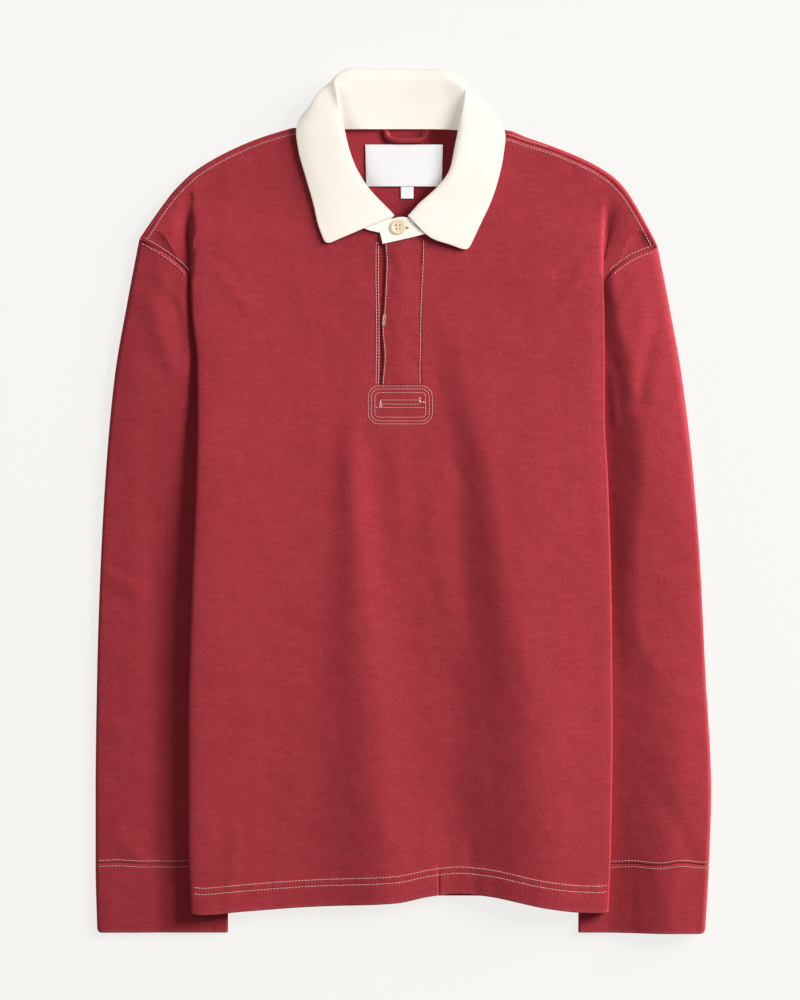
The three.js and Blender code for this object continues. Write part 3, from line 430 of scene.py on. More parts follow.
def wall(name, grid, thickness, ring=False, keep=None, fade=None):
    """Closed shell round a grid of points on the middle of a cloth. fade is how worn each point is."""
    grid = np.asarray(grid, float)
    rows, columns = grid.shape[:2]
    half = np.broadcast_to(np.asarray(thickness, float) / 2, (rows, columns))[..., None]
    out = grid_normals(grid, ring) * half
    points = np.concatenate([(grid + out).reshape(-1, 3), (grid - out).reshape(-1, 3)])
    layer = rows * columns
    cells = columns if ring else columns - 1
    mask = np.ones((rows - 1, cells), bool) if keep is None else keep
    j, i = np.nonzero(mask)
    after = (i + 1) % columns
    a, b, c, d = j * columns + i, j * columns + after, (j + 1) * columns + after, (j + 1) * columns + i
    faces = [np.stack([a, b, c, d], 1), np.stack([d, c, b, a], 1) + layer]
    tall = np.pad(mask, ((1, 1), (0, 0)))
    wide = np.pad(mask, ((0, 0), (1, 1)), mode="wrap" if ring else "constant")
    for first, second, gone in (
        (a, b, ~tall[j, i]),
        (c, d, ~tall[j + 2, i]),
        (d, a, ~wide[j, i]),
        (b, c, ~wide[j, i + 2]),
    ):
        first, second = first[gone], second[gone]
        faces.append(np.stack([second, first, first + layer, second + layer], 1))
    used, faces = np.unique(np.concatenate(faces), return_inverse=True)
    piece = new_piece(name, points[used], faces.reshape(-1, 4).tolist())
    if fade is not None:
        worn = piece.data.attributes.new("fade", "FLOAT", "POINT")
        values = np.tile(np.broadcast_to(fade, (rows, columns)).reshape(-1), 2)[used]
        worn.data.foreach_set("value", values.astype(np.float32))
    return piece


def new_piece(name, points, faces, sharp=50, scale=MM):
    """Object of a mesh given in millimetres, smooth but for edges sharper than an angle."""
    mesh = bpy.data.meshes.new(name)
    mesh.from_pydata((np.array(points) * scale).tolist(), [], faces)
    mesh.validate()
    mesh.shade_smooth()
    mesh.set_sharp_from_angle(angle=math.radians(sharp))
    return add_object(name, mesh)


def tube_faces(rings, sides, base=0):
    """Faces round a tube whose points come ring by ring, with both of its ends."""
    last = base + (rings - 1) * sides
    faces = [tuple(base + n for n in reversed(range(sides))), tuple(last + n for n in range(sides))]
    for low in range(base, last, sides):
        for n in range(sides):
            m = (n + 1) % sides
            faces.append((low + n, low + m, low + sides + m, low + sides + n))
    return faces


def add_object(name, data):
    added = bpy.data.objects.new(name, data)
    bpy.context.scene.collection.objects.link(added)
    return added


def rounded(distance, thickness):
    """Thickness of a turned edge at a distance in from its end."""
    return thickness * np.sqrt(np.clip(0.12 + distance / (thickness * 0.75), 0, 1))


def finish(piece, material, slot, *nodes):
    """Gives a piece its material, hangs it on the root body and hides the solids that it stands for; slot is
    not used.
    """
    piece.data.materials.clear()
    piece.data.materials.append(material)
    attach(piece, "root")
    if nodes:
        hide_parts(*nodes)
    return piece


# Stitches

# A stitch is a bowed capsule: how far along it each ring is, its girth, and how high it stands
STITCH_RINGS = ((-0.5, 0.35, -0.24), (-0.36, 0.9, 0.0), (0, 1, 0.07), (0.36, 0.9, 0.0), (0.5, 0.35, -0.24))
STITCH_SIDES = 6


def along_path(at, walked, rows):
    """Place or direction, at one distance or more walked along a path."""
    return np.array([np.interp(at, walked, column) for column in rows.T])


def unit(vector):
    return vector / max(np.linalg.norm(vector), 1e-6)


def stitch_row(points, normals, pitch, length, width):
    """Points and faces of separate stitches laid along a path."""
    walked = np.concatenate([[0], np.cumsum(np.linalg.norm(np.diff(points, axis=0), axis=1))])
    count = max(1, int(walked[-1] / pitch))
    verts, faces = [], []
    for k in range(count):
        centre = (k + 0.5) * walked[-1] / count
        sway = 2 * RANDOM.normal(0, 0.03, 2)[0]
        faces += tube_faces(len(STITCH_RINGS), STITCH_SIDES, len(verts))
        for reach, girth, drop in STITCH_RINGS:
            s = centre + reach * length
            up = along_path(s, walked, normals)
            forward = unit(along_path(s + 0.2, walked, points) - along_path(s - 0.2, walked, points))
            aside = unit(np.cross(forward, up))
            place = along_path(s, walked, points) + up * (drop + width * 0.12) + aside * sway
            for angle in 2 * math.pi * np.arange(STITCH_SIDES) / STITCH_SIDES:
                out = aside * math.cos(angle) + up * math.sin(angle)
                verts.append(place + out * girth * width / 2)
    return verts, faces


def stitching(name, rows, material, pitch=2.8, length=2.5, width=0.5):
    """One piece that holds several rows of stitches; a row is its points and outward directions."""
    verts, faces = [], []
    for points, normals in rows:
        more, cells = stitch_row(points, normals, pitch, length, width)
        faces += [tuple(v + len(verts) for v in cell) for cell in cells]
        verts += more
    return finish(new_piece(name, verts, faces, 80), material, "collar_cream")


def over(height, xs, ys, lift=JERSEY / 2):
    """Points and outward directions on a surface given by its height, for a row of stitches."""
    xs, ys = np.broadcast_arrays(np.asarray(xs, float), np.asarray(ys, float))
    step = 0.8
    z = height(xs, ys)
    normals = np.stack([
        (height(xs - step, ys) - height(xs + step, ys)) / (2 * step),
        (height(xs, ys - step) - height(xs, ys + step)) / (2 * step),
        np.ones_like(z),
    ], 1)
    normals /= np.linalg.norm(normals, axis=1, keepdims=True)
    return np.stack([xs, ys, z], 1) + normals * lift, normals


# Materials

class Look:
    """A material, with short ways to build its pattern and relief."""

    def __init__(self, name):
        self.material = bpy.data.materials.new(name)
        self.material.use_nodes = True
        self.nodes = self.material.node_tree.nodes
        self.place = self.add("ShaderNodeTexCoord", {}).outputs["Object"]

    def fill(self, node, values):
        """Gives inputs of a node a value, or what another node puts out."""
        for key, value in values.items():
            if isinstance(value, bpy.types.NodeSocket):
                self.material.node_tree.links.new(value, node.inputs[key])
            else:
                node.inputs[key].default_value = value

    def add(self, kind, values, **settings):
        node = self.nodes.new(kind)
        for name, setting in settings.items():
            setattr(node, name, setting)
        self.fill(node, values)
        return node

    def shade(self, base, roughness, specular, **more):
        """Sets the surface itself; sheen and relief come by the names of their inputs."""
        shader = self.nodes["Principled BSDF"]
        values = {"Base Color": base, "Roughness": roughness, "Specular IOR Level": specular}
        self.fill(shader, values | {name.replace("_", " "): value for name, value in more.items()})

    def noise(self, scale, detail, stretch=None):
        place = self.place
        if stretch:
            place = self.add("ShaderNodeMapping", {"Vector": place, "Scale": stretch}).outputs["Vector"]
        values = {"Vector": place, "Scale": scale, "Detail": detail}
        return self.add("ShaderNodeTexNoise", values).outputs["Fac"]

    def levels(self, value, low, high, to_low=0.0, to_high=1.0):
        values = {"Value": value, "From Min": low, "From Max": high, "To Min": to_low, "To Max": to_high}
        return self.add("ShaderNodeMapRange", values).outputs["Result"]

    def blend(self, amount, first, second):
        return self.add("ShaderNodeMix", {0: amount, 6: first, 7: second}, data_type="RGBA").outputs[2]

    def tint(self, pattern, most, base, color):
        """Lays a colour over the base where a pattern is, with at most a given share."""
        return self.blend(self.levels(pattern, 0, 1, 0, most), base, color)

    def bump(self, height, strength, depth, before=None):
        values = {"Height": height, "Strength": strength, "Distance": depth * MM}
        if before is not None:
            values["Normal"] = before
        return self.add("ShaderNodeBump", values).outputs["Normal"]

    def ribs(self, pitch, direction):
        scale = 2 * math.pi / (20 * pitch * MM)
        values = {"Vector": self.place, "Scale": scale, "Distortion": 0.6, "Detail": 1}
        return self.add("ShaderNodeTexWave", values, bands_direction=direction).outputs["Fac"]


def jersey_material():
    """Washed heathered cotton jersey: fine knit columns, slubs, soft mottling and worn edges."""
    look = Look("jersey_red")
    heather = look.levels(look.noise(900, 3, (1, 0.45, 1)), 0.36, 0.64)
    slub = look.levels(look.noise(160, 3, (0.35, 1.6, 1)), 0.35, 0.7)
    cloud = look.levels(look.noise(16, 4), 0.3, 0.7)
    base = look.blend(heather, (0.315, 0.021, 0.031, 1), (0.385, 0.034, 0.046, 1))
    base = look.tint(slub, 0.28, base, (0.42, 0.052, 0.067, 1))
    base = look.tint(cloud, 0.25, base, (0.30, 0.019, 0.028, 1))
    worn = look.add("ShaderNodeAttribute", {}, attribute_name="fade").outputs["Fac"]
    patchy = look.levels(look.noise(240, 2), 0.3, 0.75, 0.3, 1)
    share = look.add("ShaderNodeMath", {0: worn, 1: patchy}, operation="MULTIPLY").outputs[0]
    base = look.blend(share, base, (0.56, 0.16, 0.17, 1))
    normal = look.bump(look.noise(55, 3), 0.35, 1.2)
    normal = look.bump(look.ribs(0.85, "X"), 0.18, 0.2, normal)
    normal = look.bump(look.noise(420, 3), 0.35, 0.3, normal)
    look.shade(base, 0.95, 0.2, Sheen_Weight=0.07, Sheen_Roughness=0.5, Sheen_Tint=(1, 0.72, 0.7, 1),
               Normal=normal)
    return look.material


def twill_material():
    """Cream cotton twill with a fine diagonal weave."""
    look = Look("collar_cream")
    cloud = look.levels(look.noise(28, 3), 0.3, 0.7)
    thread = look.levels(look.noise(700, 2), 0.3, 0.7)
    base = look.blend(cloud, (0.90, 0.82, 0.72, 1), (0.93, 0.87, 0.785, 1))
    base = look.tint(thread, 0.12, base, (0.80, 0.71, 0.60, 1))
    normal = look.bump(look.noise(60, 3), 0.3, 1.0)
    normal = look.bump(look.ribs(0.8, "DIAGONAL"), 0.15, 0.2, normal)
    look.shade(base, 0.9, 0.25, Sheen_Weight=0.08, Normal=normal)
    return look.material


def plain_material(name, color, roughness, grain, rise, specular=0.3):
    """Even finish with a fine grain in colour and surface."""
    look = Look(name)
    speck = look.levels(look.noise(grain, 3), 0.3, 0.7)
    dark = tuple(0.86 * c for c in color[:3]) + (1,)
    normal = look.bump(look.noise(grain * 1.5, 2), 0.3, rise)
    look.shade(look.blend(speck, dark, color), roughness, specular, Normal=normal)
    return look.material


# Front

def front_height(x, y):
    """Height of the middle of the front panel, with its main folds."""
    inward = np.maximum(0, by_side(edge_of, x, y) - np.abs(x) - FOLD_RADIUS)
    tucked = 1 - ramp(SHOULDER_LOW, SHOULDER_HIGH, y)
    rim = by_side(rim_of, x, y)
    sink = np.where(x < 0, RIM_SINK["right"], RIM_SINK["left"]) * np.exp(-inward / 5)
    near_edge = np.exp(-((inward / RIM_WIDTH) ** 1.7))
    height = mix(front_lies(y), mix(SHOULDER_HEIGHT - 1, rim - sink, tucked), near_edge)
    seam = by_side(shoulder_y, x, np.abs(x)) - by_side(seam_inset, x, np.abs(x))
    height = mix(SHOULDER_HEIGHT, height, ramp(2, 48, seam - y))
    from_neck = np.hypot(x, (y - NECK_CENTRE) * 1.05)
    height = height + 1.2 * np.exp(-(((from_neck - 74) / 20) ** 2)) * ramp(6, 40, seam - y)
    height = height + 0.5 * np.exp(-((x / 30) ** 2)) * ramp(40, 90, y)
    from_rise = x - rise_of["x"](y)
    step = ramp(-1.5, 1, from_rise / rise_of["width"](y))
    height = height + rise_of["height"](y) * step * (1 - near_edge)
    for ridge in ridges_of:
        height = height + ridge["height"](y) * np.exp(-(((x - ridge["x"](y)) / ridge["width"](y)) ** 2))
    return FRONT_LOWEST + np.log1p(np.exp((height - FRONT_LOWEST) * 3)) / 3


def seam_relief(distance):
    """Cloth at a sewn edge: a dip into the groove, a swell over the allowance, a dip under the stitches."""
    groove = -0.7 * np.exp(-((distance / 0.8) ** 2))
    swell = 0.18 * np.exp(-(((distance - 1.6) / 0.9) ** 2))
    pulled = -0.15 * np.exp(-(((distance - SEAM_ROW) / 0.7) ** 2))
    return groove + swell + pulled


def row_dip(distance, depth=0.2, width=0.8):
    """Cloth pulled down along a row of stitches."""
    return -depth * np.exp(-((distance / width) ** 2))


def front_detail(x, y):
    """Finer relief of the front: creases, hem rows, puckers and the slit's edge."""
    creases = fold_height(FRONT_CREASES, x, y)
    above_hem = y - front_hem(x)
    hem = row_dip(above_hem - HEM_ROWS[0]) + row_dip(above_hem - HEM_ROWS[1])
    doubled = 0.35 * (1 - ramp(HEM_ROWS[1], HEM_ROWS[1] + 1.2, above_hem))
    joint = seam_relief(np.abs(x - HEM_JOINT)) * (1 - ramp(HEM_ROWS[0], HEM_ROWS[1], above_hem))
    pucker = 0.22 * waves(x, y * 0.4, 9, 3) * np.exp(-(((above_hem - 21) / 9) ** 2))
    uneven = 0.22 * waves(x, y, 46, 5) + 0.1 * waves(x, y, 19, 8)
    return creases + hem + doubled + joint + pucker + uneven


def front_surface(x, y):
    """Middle of the front panel with all of its relief."""
    return front_height(x, y) + front_detail(x, y)


def armhole_slant(side):
    """How steeply the armhole ends at the shoulder: its rise for each unit of its length."""
    rows = ARMHOLE[side]
    rise = rows["y"][-1] - rows["y"][-2]
    return rise / math.hypot(rows["x"][-1] - rows["x"][-2], rise)


def armhole_corner(side):
    """Height in plan of the front's corner between armhole and shoulder seam."""
    outermost = ARMHOLE[side]["x"][-1]
    return ARMHOLE[side]["y"][-1] - (seam_inset[side](outermost) + JERSEY_SEAM) * armhole_slant(side)


# Where the edge of the body meets the shoulder seam
RIDGE_TOP = {side: float(shoulder_seam_y(side, edge_of[side](FRONT_END) - FOLD_RADIUS)) for side in SIDES}
CORNER = {side: float(armhole_corner(side)) for side in SIDES}


def front_seam(side, y):
    """Edge of the front at a level: the armhole, then the hidden side seam. low is 1 well under the arm."""
    fold_y = 203.5  # the armhole leaves the edge of the body here
    ridge_top = RIDGE_TOP[side]
    corner = CORNER[side]
    seam_y = y
    if y > fold_y:
        seam_y = mix(fold_y, corner, (y - fold_y) / (ridge_top - fold_y))
    x = mix(SIDE_SEAM, armhole_x[side](seam_y) - JERSEY_SEAM, ramp(UNDERARM_LOW, UNDERARM_Y, seam_y))
    height = mix(TUCK_HEIGHT, SHOULDER_HEIGHT, ramp(206, 221, seam_y))
    low = ramp(UNDERARM_LOW, UNDERARM_LOW - 12, seam_y)
    return SIDES[side] * x, seam_y, height, low


def side_section(side, y):
    """Section of the front's side from its seam to the edge of the body: open above, tucked under below."""
    sign = SIDES[side]
    ridge_top = RIDGE_TOP[side]
    seam_x, seam_y, seam_z, low = front_seam(side, y)
    ridge_x = sign * (edge_of[side](y) - FOLD_RADIUS)
    ridge_z = float(front_surface(ridge_x, y))
    under = 1 - ramp(TUCK_OPENS, TUCK_OPEN, seam_y)
    dent = ARMPIT_DENT * ramp(276, 236, y)
    flat_share = 0.45
    points = []
    for q in SIDE_STEPS:
        x = mix(seam_x, ridge_x, q)
        chord = mix(seam_y, y, q)
        bow = 0
        if q > 0 and y > ridge_top - SHOULDER_BEND:
            bow = shoulder_seam_y(side, abs(x)) - mix(CORNER[side], ridge_top, q)
        from_seam = abs(x - seam_x)
        z = mix(seam_z, ridge_z, q ** 3) - dent * math.sin(math.pi * q ** 2.4) ** 1.2
        z = max(z, FRONT_DEEPEST) + seam_relief(from_seam)
        opened = np.array([x, chord + bow * ramp(ridge_top - SHOULDER_BEND, ridge_top, y), z])
        if q < flat_share:
            t = q / flat_share
            x = mix(seam_x, ridge_x, t)
            descent = low * (1 - ramp(0, 12, abs(x - seam_x)))  # the seam rests lower, on the back
            tucked = np.array([x, mix(seam_y, y, t), TUCK_HEIGHT - 2.6 * descent])
        else:
            turn = math.pi * (q - flat_share) / (1 - flat_share)
            radius = (ridge_z - TUCK_HEIGHT) / 2
            tucked = np.array([
                ridge_x + sign * FOLD_RADIUS * math.sin(turn),
                y,
                TUCK_HEIGHT + radius * (1 - math.cos(turn)),
            ])
        points.append(mix(opened, tucked, under))
    return points


def front_columns():
    """Places of the front's columns: fixed lines inside the neck points, and shares of the way beyond."""
    kept = {SLIT_RIGHT, SLIT_LEFT} | {HEM_JOINT + step for step in (-2, -1.1, -0.4, 0.4, 1.1, 2)}
    even = {round(x, 1) for x in np.linspace(-NECK_POINT, NECK_POINT, 51)}
    fixed = sorted(kept | {x for x in even if min(abs(x - other) for other in kept) > 1.2})
    shares = np.linspace(0, 1, 34)[1:]
    inside = [("fixed", x) for x in fixed]
    return [("right", s) for s in shares[::-1]] + inside + [("left", s) for s in shares]


def column_x(column, y):
    """Place across of a column at one level."""
    kind, value = column
    if kind == "fixed":
        return value
    return SIDES[kind] * mix(NECK_POINT, edge_of[kind](y) - FOLD_RADIUS, value)


def front_top(x):
    """Upper edge of the front: its neckline, and the shoulder seams beyond the neck points."""
    reach = np.maximum(np.abs(x), NECK_POINT)
    seam = np.where(x < 0, shoulder_seam_y("right", reach), shoulder_seam_y("left", reach))
    return np.where(np.abs(x) < NECK_POINT - 0.1, front_neck(np.abs(x)), seam)


def front_levels():
    """Levels from 0 at the hem over 1 at the foot of the slit to 2 at the top, close at rows of stitches."""
    below = SLIT_Y - HEM_Y
    hem = [0, 0.3, 0.9, 2.2, 5, 9, 13, 16.5, 17.8, 18.5, 19.2, 21.2, 23.3, 24, 24.7, 26.5, 30]
    levels_below = [d / below for d in hem] + list(np.linspace(34, below, 108) / below)
    above = 200
    near = [8, 6, 4.4, 3.8, 3.2, 2.6, 1.9, 1.2, 0.6, 0]
    levels_above = list(np.linspace(0, 1 - 11 / above, 50)[1:]) + [1 - d / above for d in near]
    return levels_below, [1 + level for level in levels_above]


# Shares of the way from the seam to the edge of the body, close together beside the seam
SIDE_STEPS = (
    0, 0.02, 0.045, 0.07, 0.1, 0.15, 0.22, 0.3, 0.38, 0.45,
    0.52, 0.59, 0.66, 0.73, 0.79, 0.84, 0.89, 0.93, 0.97,
)


def make_front(material):
    """One grid from hem to neck and shoulders, with its tucked sides, open at the placket's slit."""
    columns = front_columns()
    below, above = front_levels()
    grid, fades, thicknesses = [], [], []
    for level in below + above:
        rough = mix(HEM_Y, SLIT_Y, level) if level < 1 else mix(SLIT_Y, FRONT_END, level - 1)
        xs = np.array([column_x(column, rough) for column in columns])
        if level <= 1:
            ys = mix(front_hem(xs), SLIT_Y, level)
        else:
            ys = mix(SLIT_Y, front_top(xs), level - 1)
        xs = np.array([column_x(column, y) for column, y in zip(columns, ys)])
        zs = front_surface(xs, ys)
        seam = np.where(np.abs(xs) > NECK_POINT, front_top(xs) - ys, 99)
        zs = zs + seam_relief(seam) + row_dip(slit_distance(xs, ys), 0.3)
        middle = np.stack([xs, ys, zs], 1)
        right = side_section("right", ys[0])
        left = side_section("left", ys[-1])[::-1]
        row = np.vstack([right, middle, left])
        grid.append(row)
        hem = np.abs(row[:, 1] - front_hem(row[:, 0]))
        worn_seam = 0.3 * np.exp(-((seam - 1.9) / 1.2) ** 2)
        fades.append(edge_fade(hem) + np.pad(worn_seam, (len(right), len(left))))
        thicknesses.append(rounded(hem, JERSEY))
    grid = np.array(grid)
    first = len(SIDE_STEPS) + columns.index(("fixed", SLIT_RIGHT))
    last = len(SIDE_STEPS) + columns.index(("fixed", SLIT_LEFT))
    keep = np.ones((grid.shape[0] - 1, grid.shape[1] - 1), bool)
    keep[len(below) - 1:, first:last] = False
    front = wall("front_panel", grid, np.array(thicknesses), keep=keep, fade=np.array(fades))
    return finish(front, material, "jersey_red", "front")


def slit_distance(x, y):
    """Distance from the row of stitches along the slit's edge on the wearer's right."""
    return np.where(y > SLIT_Y, np.abs(x - (SLIT_RIGHT - 3.2)), 99)


def edge_fade(distance):
    """Wear along a turned edge."""
    return 0.5 * np.exp(-((distance / 1.6) ** 2))


# Back

BACK_SIDE_GAP = 0.08
BACK_CURL = 12  # how far in from the shoulder outline the back starts to curl forward


def back_side(side, y):
    """Side seam and armhole of the back."""
    x = mix(SIDE_SEAM + 3, armhole_x[side](y), ramp(UNDERARM_LOW, UNDERARM_Y, y))
    return x - BACK_SIDE_GAP


def back_top(side, reach, depth):
    """Plan place on the back at a depth in from the shoulder outline."""
    rows = ARMHOLE[side]
    x, y = shoulder_point(side, (rows["x"][-1] - BACK_SIDE_GAP) * reach, depth)
    along = rows["y"][-1] - depth * armhole_slant(side)
    to_armhole = ramp(0.86, 1, reach)
    return mix(x, armhole_x[side](along) - BACK_SIDE_GAP, to_armhole), mix(y, along, to_armhole)


def back_place(side, reach, v):
    """Point of the flat part of the back, from the hem (0) up to where it curls (1)."""
    end_x, end_y = back_top(side, reach, BACK_CURL)
    side_end = back_top(side, 1, BACK_CURL)[1]
    corner = HEM_Y + 2 + 3.5 * reach * (side == "right")
    side_y = mix(corner, side_end, v)
    shift = end_x - back_side(side, side_end) * reach
    x = back_side(side, side_y) * reach + shift * ramp(0.5, 1, v)
    rise = ramp(0.55, 1, v) * (end_y - side_end)
    hem = (1 - ramp(0, 0.3, v)) * (1 - reach ** 6) * BACK_HEM_RISE
    return SIDES[side] * x, side_y + rise + hem, GROUND_LAYER


def back_curl_place(side, reach, t):
    """Point of the shoulder that curls forward to the seam on the front; at the neck it stays flat."""
    weights = np.array([(1 - t) ** 3, 3 * t * (1 - t) ** 2, 3 * t * t * (1 - t), t ** 3])
    top_x = back_top(side, reach, 0)[0]
    curl = ramp(80, 94, top_x)
    inset = (seam_inset[side](top_x) - JERSEY_SEAM) * curl
    turn = (BACK_CURL + inset) / 6
    leave = mix(BACK_CURL * 0.6, -turn, curl)
    arrive = mix(BACK_CURL * 0.3, -turn, curl)
    depth = weights @ [BACK_CURL, leave, arrive, inset]
    high = mix(GROUND_LAYER, SHOULDER_HEIGHT, curl)
    x, y = back_top(side, reach, depth)
    z = weights @ [GROUND_LAYER, GROUND_LAYER, high, high]
    return SIDES[side] * x, y, z + curl * seam_relief(abs(depth - inset)) * ramp(0.5, 1, t)


def make_back(material):
    reaches = np.concatenate([
        np.linspace(0, 0.4, 26), np.linspace(0.4, 0.8, 16)[1:], np.linspace(0.8, 1, 18)[1:],
    ])
    spread = [("right", r) for r in reaches[:0:-1]] + [("left", r) for r in reaches]
    grid = [[back_place(*place, v) for place in spread] for v in np.linspace(0, 1, 110)]
    grid += [[back_curl_place(*place, t) for place in spread] for t in np.linspace(0, 1, 17)[1:]]
    grid = np.array(grid)
    inside_neck = ramp(150, 230, grid[..., 1]) * ramp(78, 60, np.abs(grid[..., 0]))
    grid[..., 2] += 0.25 * (1 + waves(grid[..., 0], grid[..., 1], 40, 11)) * inside_neck
    back = wall("back_panel", grid, JERSEY)
    return finish(back, material, "jersey_red", "back")


# Sleeves and cuffs

def sleeve_height(side, x, y):
    """Middle of a sleeve's upper wall: low beside the body, up to its crest, and down outside."""
    form = sleeve_form[side]
    opened = np.abs(x) - edge_of[side](y)
    reach = np.clip((opened + SLEEVE_LEAD[side]) / form["reach"](y), 0, 1)
    climb = ramp(0, 1, reach ** form["late"](y))
    outer = np.clip((sleeve_edge_of[side](y) - np.abs(x)) / SLEEVE_ROLL, 0, 1)
    crest = form["crest"](y) - form["fall"](y) * (1 - outer) ** 2
    fine = fold_height(SLEEVE_CREASES[side], x, y) + 0.2 * waves(x, y, 38, 21) + 0.08 * waves(x, y, 17, 23)
    return mix(SLEEVE_COVERED, crest, climb) + fine * ramp(0, 0.4, climb)


def cuff_wave(x):
    """Waviness in plan of the seam between a sleeve and its cuff."""
    return 1.1 * np.sin(np.abs(x) / 9.5) * np.exp(-(((np.abs(x) - 245) / 26) ** 2)) + 0.4 * np.sin(x / 6.3)


# Points round a flattened tube, and how far in from each crease its turn starts
RING = {"top": 56, "turn": 10, "under": 26, "outer": 3.4, "inner": 1.5}
RING_FADE = 0.05
UNDER_X = 158  # where the hidden inner crease of the sleeve lies at the cuff


def flat_ring(side, place, height_at):
    """Closed ring of a flattened tube; place gives plan points from the outer edge (0) to the inner (1)."""
    ends = np.array(place(np.array([0.0, 1.0])))
    width = np.linalg.norm(ends[:, 1] - ends[:, 0])
    first = RING["outer"] / width
    last = 1 - RING["inner"] / width
    turn = np.pi * np.arange(1, RING["turn"]) / RING["turn"]
    across = np.concatenate([
        np.linspace(first, last, RING["top"]),
        last + (1 - last) * np.sin(turn),
        np.linspace(last, first, RING["under"]),
        first - first * np.sin(turn),
    ])
    xs, ys = place(across)
    crowns = height_at(xs, ys)
    inner_crown = crowns[RING["top"] - 1]
    zs = np.concatenate([
        crowns[:RING["top"]],
        mix(GROUND_LAYER, inner_crown, (1 + np.cos(turn)) / 2),
        np.full(RING["under"], GROUND_LAYER),
        mix(GROUND_LAYER, crowns[0], (1 - np.cos(turn)) / 2),
    ])
    ring = np.stack([xs, ys, zs], 1)
    return ring if side == "right" else ring[::-1]


def ring_fade(side):
    """Wear along the two creases of a flattened tube, a value for each point of its ring."""
    turn = RING["turn"] - 1
    worn = np.full(turn, RING_FADE)
    fades = np.concatenate([np.zeros(RING["top"]), worn, np.zeros(RING["under"]), worn])
    return (fades if side == "right" else fades[::-1])[None, :]


def sleeve_place(side, down, across):
    """Plan places across a sleeve, from its outer crease, at a share of the way down to the cuff."""
    rows = ARMHOLE[side]
    top_x, top_y = rows["x"][-1], rows["y"][-1]
    outer_y = mix(top_y, CUFF_SEAM_Y + JERSEY_SEAM, down)
    inner_y = mix(UNDERARM_Y, CUFF_SEAM_Y + JERSEY_SEAM, down)
    inner_x = mix(rows["x"][0], UNDER_X, down)
    seam_x = armhole_x[side](mix(top_y, UNDERARM_Y, across)) + JERSEY_SEAM
    bulge = (seam_x - mix(top_x, rows["x"][0], across)) * (1 - ramp(0, 0.5, down))
    x = SIDES[side] * (mix(sleeve_edge_of[side](outer_y), inner_x, across) + bulge)
    return x, mix(outer_y, inner_y, across) + cuff_wave(x) * ramp(0.93, 1, down)


SLEEVE_LENGTH = 560
# Distance from either seam for the whole length: less than it, as the levels slant at both ends
ARMHOLE_DEPTH = 420
CUFF_DEPTH = 500
UPPER_WALL = (2, 6)  # heights over which a point of a tube comes to count as its upper wall


def make_sleeve(side, material):
    """A ring for each level, close together where the seams of armhole and cuff draw the cloth in."""
    fine = np.array([0, 0.6, 1.2, 1.9, 2.6, 3.2, 3.8, 4.6, 6, 8]) / SLEEVE_LENGTH
    even = np.linspace(10, SLEEVE_LENGTH - 10, 140) / SLEEVE_LENGTH
    downs = np.concatenate([fine, even, 1 - fine[::-1]])
    grid, relief = [], []
    for down in downs[::-1]:
        grid.append(flat_ring(side, partial(sleeve_place, side, down), partial(sleeve_height, side)))
        relief.append(seam_relief(down * ARMHOLE_DEPTH) + seam_relief((1 - down) * CUFF_DEPTH))
    grid = np.array(grid)
    normals = grid_normals(grid, True)
    grid += normals * (np.array(relief)[:, None] * ramp(*UPPER_WALL, grid[..., 2]))[..., None]
    sleeve = wall(f"sleeve_{side}_tube", grid, JERSEY, ring=True, fade=ring_fade(side))
    return finish(sleeve, material, "jersey_red", f"sleeve_{side}")


def cuff_height(side, x, y):
    base = sleeve_height(side, x, CUFF_SEAM_Y)
    joint = -0.6 * np.exp(-(((np.abs(x) - CUFF_JOINT) / 1.6) ** 2)) * (side == "right")
    return base + joint + 0.25 * waves(x, y * 0.5, 24, 31) * ramp(4, 7, base)


def cuff_place(side, outer, y, wavy, across):
    """Plan places across a cuff at one level, wavy as its seam is."""
    x = SIDES[side] * mix(outer, UNDER_X, across)
    return x, y + wavy * cuff_wave(x)


def make_cuff(side, material):
    """A ring for each level, with its outer corner rounded at the open end."""
    fine = np.array([0, 0.3, 0.8, 1.5, 3])
    end, top = CUFF_END_Y, CUFF_SEAM_Y - JERSEY_SEAM
    seam = np.array([5, 3.8, 3.2, 2.6, 1.9, 1.2, 0.6, 0])
    ys = np.concatenate([end + fine, np.linspace(end + 6, top - 7, 16), top - seam])
    grid = []
    corner = 4
    for y in ys:
        above = np.clip(corner - (y - end), 0, corner)
        outer = sleeve_edge_of[side](y) - (corner - math.sqrt(corner ** 2 - above ** 2))
        wavy = ramp(end + 12, top, y)
        grid.append(flat_ring(side, partial(cuff_place, side, outer, y, wavy), partial(cuff_height, side)))
    grid = np.array(grid)
    normals = grid_normals(grid, True)
    grid += normals * (seam_relief(top - ys)[:, None] * ramp(*UPPER_WALL, grid[..., 2]))[..., None]
    from_end = (ys - end)[:, None]
    fade = np.maximum(edge_fade(from_end), ring_fade(side))
    cuff = wall(f"cuff_{side}_band", grid, rounded(from_end, JERSEY), ring=True, fade=fade)
    return finish(cuff, material, "jersey_red", f"cuff_{side}")


# Collar

def on_front(x, y):
    """Height that collar cloth needs over the front, or nothing beyond it."""
    seam = by_side(shoulder_y, x, abs(x)) - by_side(seam_inset, x, abs(x))
    inside = ramp(seam + 6, seam - 2, y)
    return float((front_height(x, min(y, seam)) + (JERSEY + TWILL) / 2 + SEAM_GAP) * inside)


